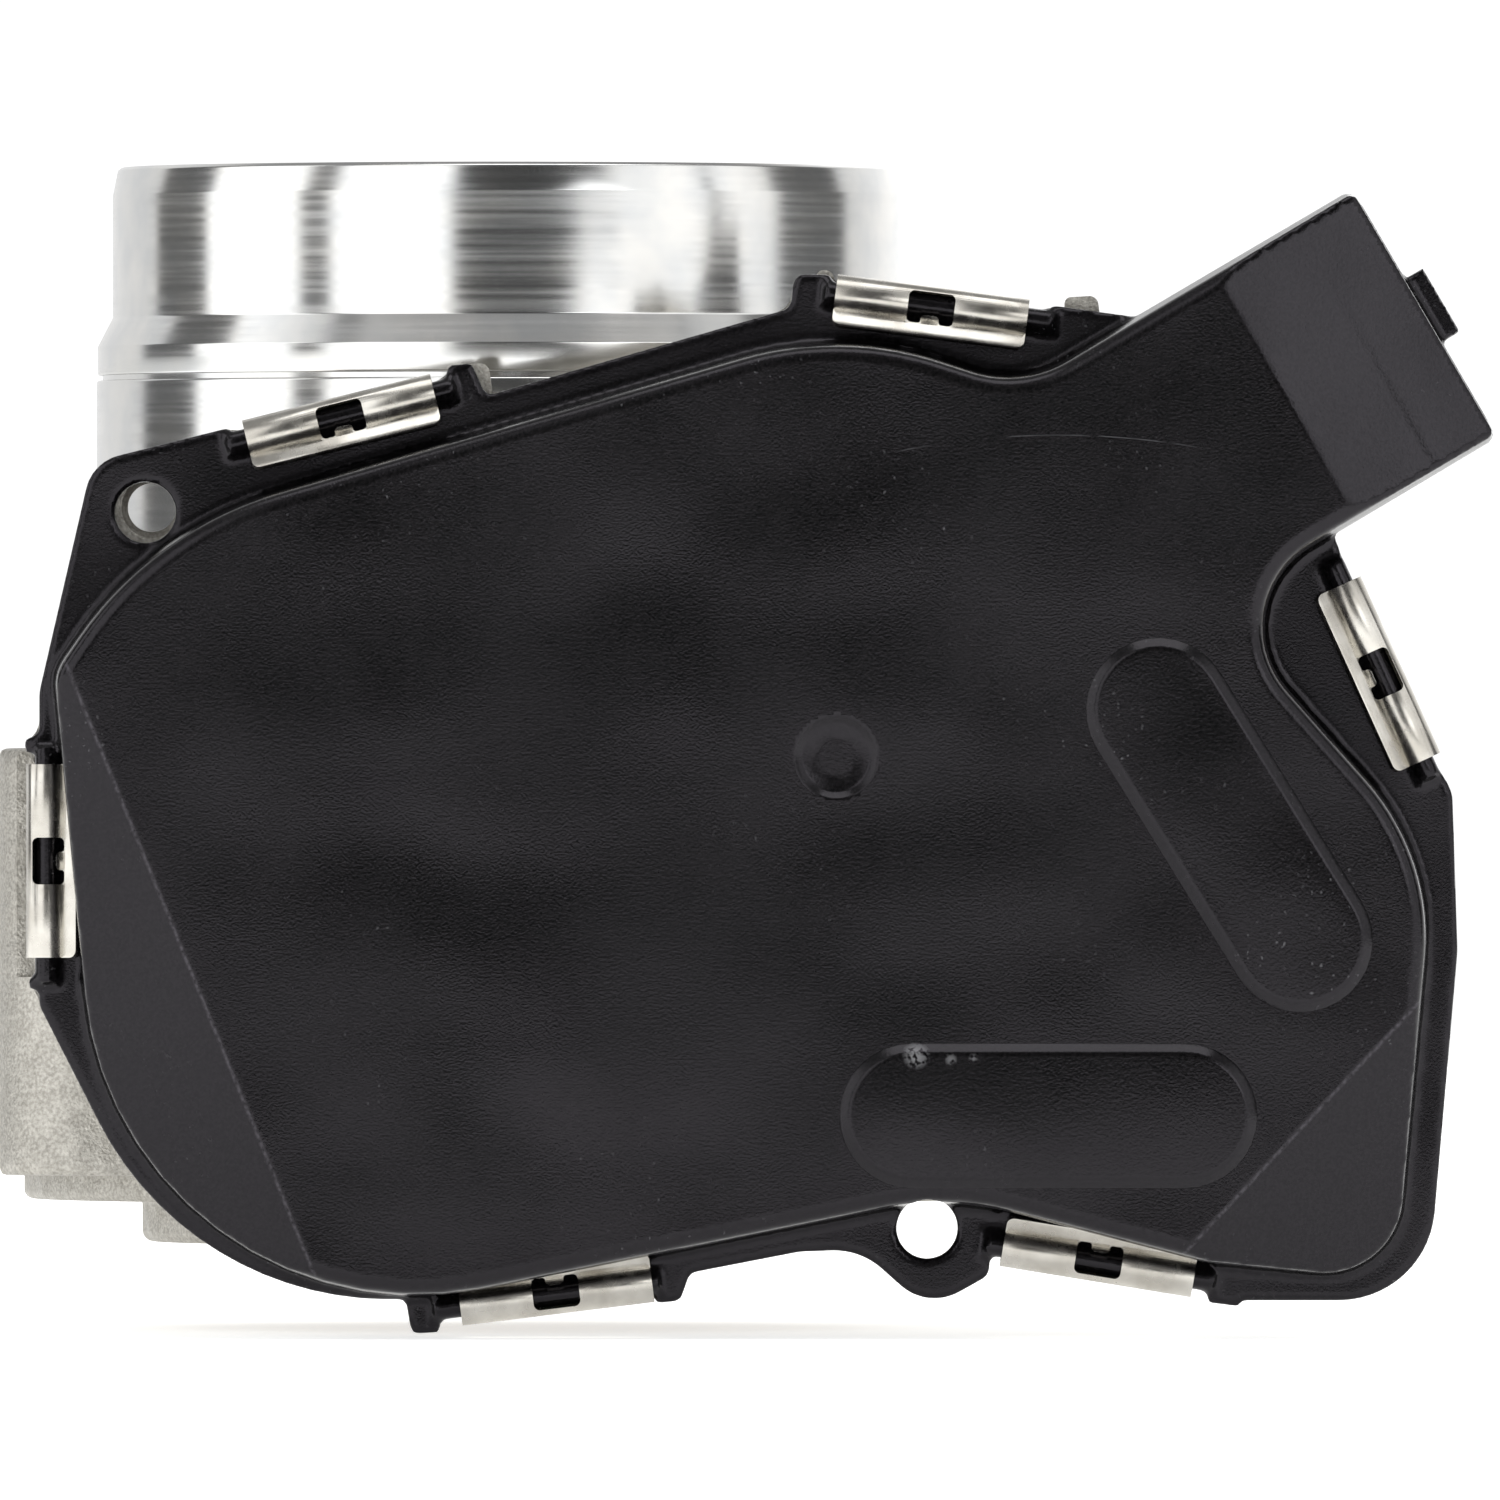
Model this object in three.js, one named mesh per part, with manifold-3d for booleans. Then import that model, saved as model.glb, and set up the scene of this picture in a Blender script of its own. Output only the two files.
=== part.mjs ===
// Electronic throttle body with a clipped-on gear cover, in millimetres.
// Z is the bore axis, up towards the air inlet, and Z = 0 is the face that meets the manifold.
// The gear cover faces -Y and its connector points to +X. The throttle rests a little open.
import * as THREE from "three";
import { mergeVertices } from "three/addons/utils/BufferGeometryUtils.js";
import Module from "manifold-3d";

const wasm = await Module();
wasm.setup();

const { sin, cos, tan, acos, atan2, abs, max, round, hypot, sqrt, PI } = Math;
const rad = THREE.MathUtils.degToRad;
const V2 = THREE.Vector2;
const V3 = THREE.Vector3;

// ---------------------------------------------------------------- driving sizes
const GAP = 0.3; // between pieces that touch
const RUNNING = 0.06; // radial clearance of a turning shaft
const EXTRA = 1; // how far a cutting tool passes through what it cuts, or a joined piece goes in
const BORE_SIDES = 48; // flats round the bore and the plate
const BARREL_SIDES = 36; // flats round the outside of the barrel

// Barrel, spigot and manifold end
const BORE_R = 34;
const INLET_R = BORE_R + 3;
const BARREL_R = BORE_R + 7.75;
const SPIGOT_R = INLET_R + 3.15;
const RIM_Z = 100.2;
const SPIGOT_LENGTH = 15;
const RIM_CHAMFER = 1.4; // inside the rim
const THROAT_Z = [64, 78]; // where the bore widens to the inlet
const BAND_Z = RIM_Z - 17.9;
const BAND_WIDTH = 2.9;
const GROOVE_WIDTH = 0.5;
const GROOVE_DEPTH = 0.6;
const LIP_WALL = 3.2;
const LIP_DEPTH = 7.1;
const PILOT_R = BORE_R + 15;
const PILOT_DEPTH = 2.8;
const SEAL_CORD = 3.2;
const FLANGE_THICKNESS = 12;
const COLUMN_AT = BORE_R + 7;
const COLUMN_R = 9.75;
const COLUMN_Z = 42.2;
const WEB_WIDTH = 8;
const WEB_Z = COLUMN_Z - 4;
const BOLT_HOLE_R = 3.3;

// Throttle shaft and plate
const SHAFT_Z = 38;
const SHAFT_R = 5;
const PLATE_THICKNESS = 2;
const PLATE_CLEARANCE = 0.15;
const REST_OPENING = 8;
const OPEN_TRAVEL = 80;
const BEARING_WALL = 2;
const BEARING_LENGTH = 10;
const SHAFT_SEAL_LENGTH = 3;
const SCREW_R = 2;
const SCREW_HEAD_R = SCREW_R + 1.6;
const SCREW_HEAD = 1.6;
const SHAFT_FLAT = SHAFT_R - 1.2;
const FAR_BOSS = 2; // how far the far side's boss stands beyond the shaft's bearing
const BOSS_WALL = 4;
const NECK_HALF = 17.5;
const NECK_Z = [6, SHAFT_Z + 34];

// Gear tray and cover
const FLOOR_FROM_BORE = 16;
const FLOOR_THICKNESS = 4;
const TRAY_DEPTH = 8;
const TRAY_WALL = 4;
const JOINT_FLANGE = 3;
const COVER_FLANGE = 2.7;
const COVER_WALL = 2.2;
const LOCATING_HOLE_R = 3;
const SEAL_INSET = 1.2;
const SEAL_WIDTH = 1.5;
const SEAL_DEPTH = 1.3;
const MANIFOLD_SEAL_FROM_LIP = 3.6;

// Gear train
const MODULE = 1;
const PRESSURE_ANGLE = rad(20);
const WHEEL_TEETH = 51;
const PINION_TEETH = 13;
const PROFILE_SHIFT = 0.3;
const TOOTH_THINNING = 0.06;
const CENTRE_EXTRA = 0.15;
const SECTOR_THICKNESS = 6;
const WHEEL_THICKNESS = 5;
const LAYER_GAP = 2.5;
const ROOF_GAP = 2.3;
const FIRST_TILT = rad(5.9);
const SECOND_TILT = rad(-20.6);
const PIN_R = 2.5;

// Motor
const CAN_R = 14;
const CAN_WALL = 1;
const CAN_LENGTH = 43.7;
const MAGNET_THICKNESS = 2.2;
const ARMATURE_GAP = 0.5;
const ARMATURE_SHAFT_R = 1.6;
const POT_WALL = 3.2;
const WAVE_SPRING_ROOM = 4.2;

// Spring clips
const BEAD_R = 1.15;
const SHEET = 0.55;
const CLIP_LENGTH = 19;
const CLIP_REACH = 4.2; // of its leaf and its leg, in from the edge it grips
const CLIP_TIP = 2.3; // how far the leaf's tip stands in front of the bead's middle
const CLIP_BEND = 0.7; // of the back bend and of the lead-in
const CLIP_ROOM = 0.6; // past the leaf's tip
const CLIP_FRONT_ROOM = 3.4; // in front of the cover's flange
const WINDOW_LENGTH = 4.6;
const WINDOW_REACH = [-2.6, 0.25]; // across the roll, from the edge it grips

// ---------------------------------------------------------------- worked-out places
const FLOOR_Y = -(BORE_R + FLOOR_FROM_BORE);
const BACK_Y = FLOOR_Y + FLOOR_THICKNESS;
const JOINT_Y = FLOOR_Y - TRAY_DEPTH;
const COVER_BACK_Y = JOINT_Y - GAP;
const COVER_FLANGE_Y = COVER_BACK_Y - COVER_FLANGE;
const SECTOR_BACK_Y = JOINT_Y;
const SECTOR_FRONT_Y = SECTOR_BACK_Y - SECTOR_THICKNESS;
const WHEEL_BACK_Y = SECTOR_FRONT_Y - LAYER_GAP;
const WHEEL_FRONT_Y = WHEEL_BACK_Y - WHEEL_THICKNESS;
const ROOF_Y = WHEEL_FRONT_Y - ROOF_GAP;
const DOME_Y = ROOF_Y - COVER_WALL;
const CLIP_POCKET_BACK_Y = BACK_Y - 0.8; // also where the motor's screw holes end
const CENTRES = (MODULE * (WHEEL_TEETH + PINION_TEETH)) / 2 + CENTRE_EXTRA;
const GEAR_X = CENTRES * cos(FIRST_TILT);
const GEAR_Z = SHAFT_Z + CENTRES * sin(FIRST_TILT);
const MOTOR_X = GEAR_X + CENTRES * cos(SECOND_TILT);
const MOTOR_Z = GEAR_Z + CENTRES * sin(SECOND_TILT);
const FAR_Y = -FLOOR_Y;
const BEARING_R = SHAFT_R + BEARING_WALL;

// Edges of the joint flange that the clips grip, each from its first to its last end, clockwise
const BARS = {
  upper_left: [[-27.6, 73.2], [-6.3, 78.5]],
  top: [[31.5, 88], [53.1, 85.2]],
  right: [[82, 60.5], [91.2, 40.2]],
  lower_right: [[68.5, -11.2], [47.1, -7.7]],
  bottom: [[14.2, -11.4], [-6.9, -14]],
  left: [[-46.7, 19.6], [-46.7, 41.8]],
};
// Each clip's bar, and how far it sits along the bar from the middle
const CLIPS = [
  ["upper_left", 0],
  ["top", -0.8],
  ["right", 0.3],
  ["left", 0.4],
  ["bottom", -1],
  ["lower_right", 0.2],
];

// Outlines in the gear plane are clockwise lists of [x, z, corner radius]
const ends = (bar) => BARS[bar].map(([x, z]) => [x, z, 0]);
const JOINT_OUTLINE = [
  [-46.3, 47.7, 4], [-41.1, 70.3, 4.4], [-27.7, 73.65, 0], ...ends("upper_left"),
  [-6.1, 79.8, 0.5], [-3.8, 80, 0.6], [-2.4, 76.8, 0.8], [27.5, 85.4, 1], [27.9, 88.8, 1.2],
  [31.5, 88.7, 0.3], ...ends("top"), [53.2, 85.7, 0.3], [70.7, 83.3, 6], [81.3, 62.2, 0.5],
  [81.7, 60.9, 0], ...ends("right"), [92.2, 38.6, 0], [92.6, 37.5, 0.6], [93.1, 22.3, 12],
  [90.1, -12.1, 9.5], [71.7, -12.1, 0], [71.5, -12.65, 0], [68.6, -12.3, 0],
  ...ends("lower_right"), [47.1, -9.6, 1.4], [41, -13, 5], [34.4, -7.1, 7], [28.5, -7.3, 7],
  [17.65, -9.4, 0.4], [16.7, -12.1, 0.8], [14.3, -12.4, 0.4], ...ends("bottom"),
  [-6.9, -15.2, 0.4], [-9.7, -15.4, 0.8], [-10.3, -12, 0], [-31.6, -12, 32], [-46.3, 16.9, 0],
  [-46.3, 18.4, 0], [-47.3, 18.6, 0.2], [-47.3, 19.6, 0], ...ends("left"), [-47.7, 41.8, 0],
  [-47.7, 43, 0.3], [-46.3, 43.6, 0],
];
// The dome over the gears, from its left shoulder clockwise up to the connector, and on from it
const DOME_TOP = [[-45, 49.7, 5], [-35.2, 64, 36], [32.5, 83.65, 33.5]];
const DOME_REST = [
  [69.3, 56.2, 9], [91, 31.7, 23.5], [87.1, -10.3, 8], [68.25, -8.5, 10], [43, -2, 28],
  [-38.5, -18.3, 33],
];
const CONNECTOR_MOUTH = [[82.8, 97.2, 1.2], [97.1, 72.75, 1.2]];
const DOME_OUTLINE = [...DOME_TOP, [50.1, 77.95, 11], ...CONNECTOR_MOUTH, ...DOME_REST];
const TRAY_OUTLINE = [...DOME_TOP, [64, 73.4, 8], ...DOME_REST];
const LOCATING_HOLES = [[-35.87, 65.34], [40.95, -4.98]];

// Slopes at the edge of the dome's front: a line on the front and how far the front drops
// back at a distance beyond it
const SLOPES = [
  { from: [-43.2, 50], to: [-18.8, -10.05], reach: 13.5, drop: 6 },
  { from: [65.8, -7.5], to: [88.9, 17.2], reach: 14, drop: 6 },
  { from: [82.9, 64.5], to: [69.5, 88], reach: 16.4, drop: 3.5 },
];

// ---------------------------------------------------------------- shape helpers
// A closed three.js geometry as a solid that can be joined and cut.
function solid(geometry) {
  const bare = geometry.index ? geometry.toNonIndexed() : geometry.clone();
  bare.deleteAttribute("normal");
  bare.deleteAttribute("uv");
  const merged = mergeVertices(bare, 1e-4);
  const triVerts = new Uint32Array(merged.index.array);
  const vertProperties = merged.attributes.position.array;
  const made = new wasm.Manifold(new wasm.Mesh({ numProp: 3, vertProperties, triVerts }));
  if (made.volume() > 0) return made;
  const turned = triVerts.map((_, i) => triVerts[i % 3 === 0 ? i : i % 3 === 1 ? i + 1 : i - 1]);
  return new wasm.Manifold(new wasm.Mesh({ numProp: 3, vertProperties, triVerts: turned }));
}

function surfaceOf(shape) {
  const { vertProperties, triVerts } = shape.getMesh();
  const geometry = new THREE.BufferGeometry();
  geometry.setAttribute("position", new THREE.BufferAttribute(vertProperties, 3));
  geometry.setIndex(new THREE.BufferAttribute(triVerts, 1));
  const flat = geometry.toNonIndexed();
  flat.computeVertexNormals();
  return flat;
}

const joined = (first, ...rest) => rest.reduce((all, piece) => all.add(piece), first);
const cut = (body, ...tools) => tools.reduce((left, tool) => left.subtract(tool), body);

function arc(cx, cz, r, from, to, steps) {
  return Array.from({ length: steps + 1 }, (_, k) => {
    const angle = from + ((to - from) * k) / steps;
    return new V2(cx + r * cos(angle), cz + r * sin(angle));
  });
}

// Corners [x, z, radius] as a loop of points.
function rounded(corners) {
  const count = corners.length;
  return corners.flatMap(([x, z, r], i) => {
    const corner = new V2(x, z);
    if (r === 0) return [corner];
    const [px, pz] = corners[(i + count - 1) % count];
    const [qx, qz] = corners[(i + 1) % count];
    const back = new V2(px - x, pz - z).normalize();
    const ahead = new V2(qx - x, qz - z).normalize();
    const half = acos(back.dot(ahead)) / 2;
    const centre = back.clone().add(ahead).setLength(r / sin(half)).add(corner);
    const start = back.multiplyScalar(r / tan(half)).add(corner).sub(centre);
    const end = ahead.multiplyScalar(r / tan(half)).add(corner).sub(centre);
    const turn = atan2(start.cross(end), start.dot(end));
    const first = atan2(start.y, start.x);
    return arc(centre.x, centre.y, r, first, first + turn, max(1, round(abs(turn) / rad(18))));
  });
}

// A clockwise outline with every side moved inwards, and its corner radii with them.
function inset(corners, distance) {
  const count = corners.length;
  const side = (i) => {
    const [ax, az] = corners[(i + count) % count];
    const [bx, bz] = corners[(i + 1 + count) % count];
    const along = new V2(bx - ax, bz - az).normalize();
    return { along, point: new V2(ax + along.y * distance, az - along.x * distance) };
  };
  return corners.map(([, , r], i) => {
    const before = side(i - 1);
    const after = side(i);
    const turn = before.along.cross(after.along);
    const reach = after.point.clone().sub(before.point).cross(after.along) / turn;
    const at = before.along.multiplyScalar(reach).add(before.point);
    return [at.x, at.y, turn < 0 ? max(r - distance, 0.4) : r + distance];
  });
}

// A loop of (x, z) points as a slab between two depths, y0 in front of y1.
function slabY(loop, y0, y1) {
  const shape = new THREE.Shape(loop);
  const geometry = new THREE.ExtrudeGeometry(shape, { depth: y1 - y0, bevelEnabled: false });
  return solid(geometry.rotateX(PI / 2).translate(0, y1, 0));
}

// A loop of (x, y) points as a slab between two heights.
function slabZ(loop, z0, z1) {
  const shape = new THREE.Shape(loop);
  const geometry = new THREE.ExtrudeGeometry(shape, { depth: z1 - z0, bevelEnabled: false });
  return solid(geometry.translate(0, 0, z0));
}

function rodY(x, z, r, y0, y1, sides = 24) {
  const geometry = new THREE.CylinderGeometry(r, r, y1 - y0, sides);
  return solid(geometry.translate(x, (y0 + y1) / 2, z));
}

function rodZ(x, y, r, z0, z1, sides = 20) {
  const geometry = new THREE.CylinderGeometry(r, r, z1 - z0, sides);
  return solid(geometry.rotateX(PI / 2).translate(x, y, (z0 + z1) / 2));
}

function box(x0, x1, y0, y1, z0, z1) {
  const geometry = new THREE.BoxGeometry(x1 - x0, y1 - y0, z1 - z0);
  return solid(geometry.translate((x0 + x1) / 2, (y0 + y1) / 2, (z0 + z1) / 2));
}

// A profile of [radius, height] turned about Z, or about Y where a middle (x, z) is given.
function turned(profile, sides, middle) {
  const points = profile.map(([r, h]) => new V2(r, h));
  const geometry = new THREE.LatheGeometry(points, sides);
  return solid(middle ? geometry.translate(middle[0], 0, middle[1]) : geometry.rotateX(PI / 2));
}

const ringY = (x, z, inner, outer, y0, y1, sides = 24) =>
  turned([[inner, y0], [outer, y0], [outer, y1], [inner, y1], [inner, y0]], sides, [x, z]);

// A frame in the gear plane: its X runs outwards, its Y forwards and its Z along a side.
function sideFrame(x, z, y, outward) {
  const out = new V3(outward.x, 0, outward.y);
  const ahead = new V3(0, 1, 0);
  const along = new V3().crossVectors(out, ahead);
  return new THREE.Matrix4().makeBasis(out, ahead, along).setPosition(x, y, z);
}

// A section of (outward, y) points run along a side's frame, from one end to the other.
function runAlong(section, frame, start, end) {
  const shape = new THREE.Shape(section);
  const geometry = new THREE.ExtrudeGeometry(shape, { depth: end - start, bevelEnabled: false });
  return solid(geometry.translate(0, 0, start).applyMatrix4(frame));
}

function boxIn(frame, x0, x1, y0, y1, z0, z1) {
  const geometry = new THREE.BoxGeometry(x1 - x0, y1 - y0, z1 - z0);
  geometry.translate((x0 + x1) / 2, (y0 + y1) / 2, (z0 + z1) / 2);
  return solid(geometry.applyMatrix4(frame));
}

// ---------------------------------------------------------------- finishes
const finish = (color, metalness, roughness) =>
  new THREE.MeshStandardMaterial({ color, metalness, roughness });
const CAST_ALUMINIUM = finish("#c6c3bd", 1, 0.45);
const MOULDED_BLACK = finish("#26282b", 0, 0.6);
const SPRING_STEEL = finish("#cfcdc7", 1, 0.25);
const STEEL = finish("#a9aaac", 1, 0.35);
const BRASS = finish("#c9a14a", 1, 0.35);
const RUBBER = finish("#1b1b1c", 0, 0.8);
const GEAR_NYLON = finish("#d9d6c8", 0, 0.55);
const GEAR_DARK = finish("#3a3b3d", 0, 0.55);
const MAGNET = finish("#4b4a4c", 0.2, 0.6);
const COPPER = finish("#b4683a", 1, 0.4);
const BOARD_GREEN = finish("#1f5a3a", 0, 0.5);
const CARBON = finish("#333333", 0.1, 0.7);

const group = new THREE.Group();

function add(name, shape, material, parent = group) {
  const piece = new THREE.Mesh(surfaceOf(shape), material);
  piece.name = name;
  parent.add(piece);
}

// ---------------------------------------------------------------- throttle housing
const SPRING_POCKET_R = SHAFT_R + 9.8;
const BEARING_BOSS_WALL = 2.7;
const BEARING_BOSS_R = BEARING_R + BEARING_BOSS_WALL;
const PIN_BOSS_R = PIN_R + 3.5;
const PIN_BOSS_LENGTH = 3; // on each side of the floor
const POCKET_Y = FLOOR_Y + 7.5;
const SEAL_POCKET_Y = FLOOR_Y + BEARING_LENGTH + SHAFT_SEAL_LENGTH + 3 * GAP + 0.1;
const POT_R = CAN_R + GAP + 0.1;
const POT_Y = FLOOR_Y + CAN_LENGTH + WAVE_SPRING_ROOM;
const POT_WEB = [11, 9]; // below and above the motor's axis
const POT_WEB_SHORT = 4;
const WHEEL_SHIFT = -PROFILE_SHIFT;
const PINION_SHIFT = PROFILE_SHIFT;
const rootOf = (teeth, shift) => MODULE * (teeth / 2 - 1.25 + shift);
const tipOf = (teeth, shift) => MODULE * (teeth / 2 + 1 + shift);
const WHEEL_ROOT = rootOf(WHEEL_TEETH, WHEEL_SHIFT);
const PINION_TIP = tipOf(PINION_TEETH, PINION_SHIFT);
const STOP_LUG_R = 3;
const STOP_RADIUS = SPRING_POCKET_R + STOP_LUG_R + 2.2;
const SECTOR_FIRST = -16;
const SECTOR_LAST = 100;

// The closed stop's screw lies square to the sector's edge where that edge comes to rest.
const stopAngle = rad(SECTOR_LAST + REST_OPENING);
const stopOut = new V2(cos(stopAngle + PI / 2), sin(stopAngle + PI / 2));
const stopFrame = sideFrame(
  STOP_RADIUS * cos(stopAngle),
  SHAFT_Z + STOP_RADIUS * sin(stopAngle),
  (SECTOR_BACK_Y + SECTOR_FRONT_Y) / 2,
  stopOut,
);
const STOP_SCREW_R = 2;
const STOP_SCREW_LENGTH = 14;
const STOP_LUG = [4, 10]; // where the screw's lug starts and ends along the screw
const STOP_LUG_WIDTH = 8;

function screwAlong(frame, r, x0, x1, sides = 20) {
  const geometry = new THREE.CylinderGeometry(r, r, x1 - x0, sides);
  geometry.rotateZ(PI / 2).translate((x0 + x1) / 2, 0, 0);
  return solid(geometry.applyMatrix4(frame));
}

function barFrame(bar, y) {
  const [[ax, az], [bx, bz]] = BARS[bar];
  const length = hypot(bx - ax, bz - az);
  const outward = new V2(-(bz - az) / length, (bx - ax) / length);
  return { frame: sideFrame((ax + bx) / 2, (az + bz) / 2, y, outward), length };
}

function boreTool() {
  return turned([
    [0, -LIP_DEPTH - EXTRA], [BORE_R, -LIP_DEPTH - EXTRA], [BORE_R, THROAT_Z[0]],
    [INLET_R, THROAT_Z[1]], [INLET_R, RIM_Z - RIM_CHAMFER], [INLET_R + RIM_CHAMFER, RIM_Z],
    [INLET_R + RIM_CHAMFER, RIM_Z + EXTRA], [0, RIM_Z + EXTRA],
  ], BORE_SIDES);
}

function barrel() {
  const groove = BARREL_R - GROOVE_DEPTH;
  const band = BARREL_R - 0.1;
  return turned([
    [0, -LIP_DEPTH], [BORE_R + LIP_WALL, -LIP_DEPTH], [BORE_R + LIP_WALL, -PILOT_DEPTH],
    [PILOT_R, -PILOT_DEPTH], [PILOT_R, GAP], [BARREL_R, GAP],
    [BARREL_R, BAND_Z - BAND_WIDTH - GROOVE_WIDTH], [groove, BAND_Z - BAND_WIDTH - GROOVE_WIDTH],
    [groove, BAND_Z - BAND_WIDTH], [band, BAND_Z - BAND_WIDTH], [band, BAND_Z],
    [SPIGOT_R, RIM_Z - SPIGOT_LENGTH], [SPIGOT_R, RIM_Z - 2.8], [SPIGOT_R - 0.5, RIM_Z - 0.3],
    [SPIGOT_R - 0.9, RIM_Z], [0, RIM_Z],
  ], BARREL_SIDES);
}

function flangeAndColumns() {
  const half = COLUMN_AT + COLUMN_R;
  const square = [[-half, half], [half, half], [half, -half], [-half, -half]];
  const plate = slabZ(rounded(square.map(([x, y]) => [x, y, COLUMN_R])), 0, FLANGE_THICKNESS);
  const columns = [45, 135, 225, 315].flatMap((angle) => {
    const reach = COLUMN_AT * sqrt(2);
    const x = reach * cos(rad(angle));
    const y = reach * sin(rad(angle));
    const foot = BORE_R + 2;
    const web = new THREE.BoxGeometry(reach - foot, WEB_WIDTH, WEB_Z);
    web.translate((reach + foot) / 2, 0, WEB_Z / 2).rotateZ(rad(angle));
    return [rodZ(x, y, COLUMN_R, 0, COLUMN_Z, 20), solid(web)];
  });
  return joined(plate, ...columns);
}

function boltHoles() {
  return [[1, 1], [-1, 1], [-1, -1], [1, -1]].map(([sx, sy]) =>
    rodZ(sx * COLUMN_AT, sy * COLUMN_AT, BOLT_HOLE_R, -EXTRA, COLUMN_Z + EXTRA));
}

// Room for a clip's two legs beside the bar, in front of and behind the joint flanges.
function clipPocket(bar, y0, y1) {
  const { frame, length } = barFrame(bar, 0);
  return boxIn(frame, -CLIP_REACH - CLIP_ROOM, 3 * EXTRA, y0, y1, -length / 2, length / 2);
}

function throttleHousing() {
  const outside = rounded(JOINT_OUTLINE);
  const tray = joined(
    slabY(outside, JOINT_Y, JOINT_Y + JOINT_FLANGE),
    slabY(rounded(TRAY_OUTLINE), JOINT_Y + 1, BACK_Y),
  );
  const neck = box(-NECK_HALF, NECK_HALF, BACK_Y - EXTRA, -BORE_R, ...NECK_Z);
  const springBoss = rodY(0, SHAFT_Z, SPRING_POCKET_R + BEARING_BOSS_WALL, BACK_Y - EXTRA, -BORE_R);
  const farBoss = rodY(0, SHAFT_Z, BEARING_R + BOSS_WALL, BORE_R, FAR_Y + FAR_BOSS);
  const pot = rodY(MOTOR_X, MOTOR_Z, POT_R + POT_WALL, BACK_Y - EXTRA, POT_Y + POT_WALL, 32);
  const potWeb = box(
    BORE_R + EXTRA,
    MOTOR_X,
    BACK_Y - EXTRA,
    POT_Y - POT_WEB_SHORT,
    MOTOR_Z - POT_WEB[0],
    MOTOR_Z + POT_WEB[1],
  );
  const body = cut(
    joined(barrel(), flangeAndColumns(), tray, neck, springBoss, farBoss, pot, potWeb),
    boreTool(),
    slabY(rounded(inset(TRAY_OUTLINE, TRAY_WALL)), JOINT_Y - EXTRA, FLOOR_Y),
    rodY(0, SHAFT_Z, SPRING_POCKET_R, FLOOR_Y - EXTRA, POCKET_Y),
    rodY(MOTOR_X, MOTOR_Z, POT_R, FLOOR_Y - EXTRA, POT_Y, 32),
    ...boltHoles(),
  );
  const bearingBoss = rodY(0, SHAFT_Z, BEARING_BOSS_R, FLOOR_Y, POCKET_Y + 1);
  const pinBossFront = FLOOR_Y - PIN_BOSS_LENGTH;
  const pinBoss = rodY(GEAR_X, GEAR_Z, PIN_BOSS_R, pinBossFront, BACK_Y + PIN_BOSS_LENGTH);
  const openAngle = rad(SECTOR_FIRST - OPEN_TRAVEL) - (STOP_LUG_R + GAP) / STOP_RADIUS;
  const openStop = rodY(
    STOP_RADIUS * cos(openAngle),
    SHAFT_Z + STOP_RADIUS * sin(openAngle),
    STOP_LUG_R,
    SECTOR_FRONT_Y - 1,
    FLOOR_Y + 1,
    16,
  );
  const middleY = (SECTOR_BACK_Y + SECTOR_FRONT_Y) / 2;
  const [lugStart, lugEnd] = STOP_LUG;
  const lugHalf = STOP_LUG_WIDTH / 2;
  const lugFront = -lugHalf - 0.5;
  const lugBack = FLOOR_Y + EXTRA - middleY;
  const screwLug = boxIn(stopFrame, lugStart, lugEnd, lugFront, lugBack, -lugHalf, lugHalf);
  const holeX = GAP + STOP_SCREW_LENGTH + EXTRA;
  return cut(
    joined(body, bearingBoss, pinBoss, openStop, screwLug),
    rodY(0, SHAFT_Z, BEARING_R + GAP, FLOOR_Y - EXTRA, SEAL_POCKET_Y),
    rodY(0, SHAFT_Z, BEARING_R + GAP, -SEAL_POCKET_Y, FAR_Y + FAR_BOSS + EXTRA),
    rodY(0, SHAFT_Z, SHAFT_R + GAP, SEAL_POCKET_Y - EXTRA, -SEAL_POCKET_Y + EXTRA),
    rodY(GEAR_X, GEAR_Z, PIN_R + GAP, pinBossFront - EXTRA, BACK_Y + EXTRA),
    screwAlong(stopFrame, STOP_SCREW_R + GAP, 0, holeX),
    sealRing(SEAL_INSET - GAP, SEAL_WIDTH + 2 * GAP, JOINT_Y - EXTRA, JOINT_Y + SEAL_DEPTH),
    manifoldRing(GAP, -PILOT_DEPTH - EXTRA, -PILOT_DEPTH + SEAL_CORD - EXTRA),
    ...motorScrewHoles(),
    ...LOCATING_HOLES.map(([x, z]) => rodY(x, z, LOCATING_HOLE_R, JOINT_Y - EXTRA, BACK_Y + EXTRA)),
    ...Object.keys(BARS).map((bar) => clipPocket(bar, JOINT_Y + JOINT_FLANGE, CLIP_POCKET_BACK_Y)),
  );
}

// ---------------------------------------------------------------- seals
function sealRing(start, width, y0, y1) {
  const outer = rounded(inset(TRAY_OUTLINE, start));
  const inner = rounded(inset(TRAY_OUTLINE, start + width));
  return cut(slabY(outer, y0, y1), slabY(inner, y0 - EXTRA, y1 + EXTRA));
}

function manifoldRing(clearance, z0, z1) {
  const start = BORE_R + LIP_WALL + MANIFOLD_SEAL_FROM_LIP;
  const inner = start - clearance;
  const outer = start + SEAL_CORD + clearance;
  return turned([[inner, z0], [outer, z0], [outer, z1], [inner, z1], [inner, z0]], 40);
}

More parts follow.
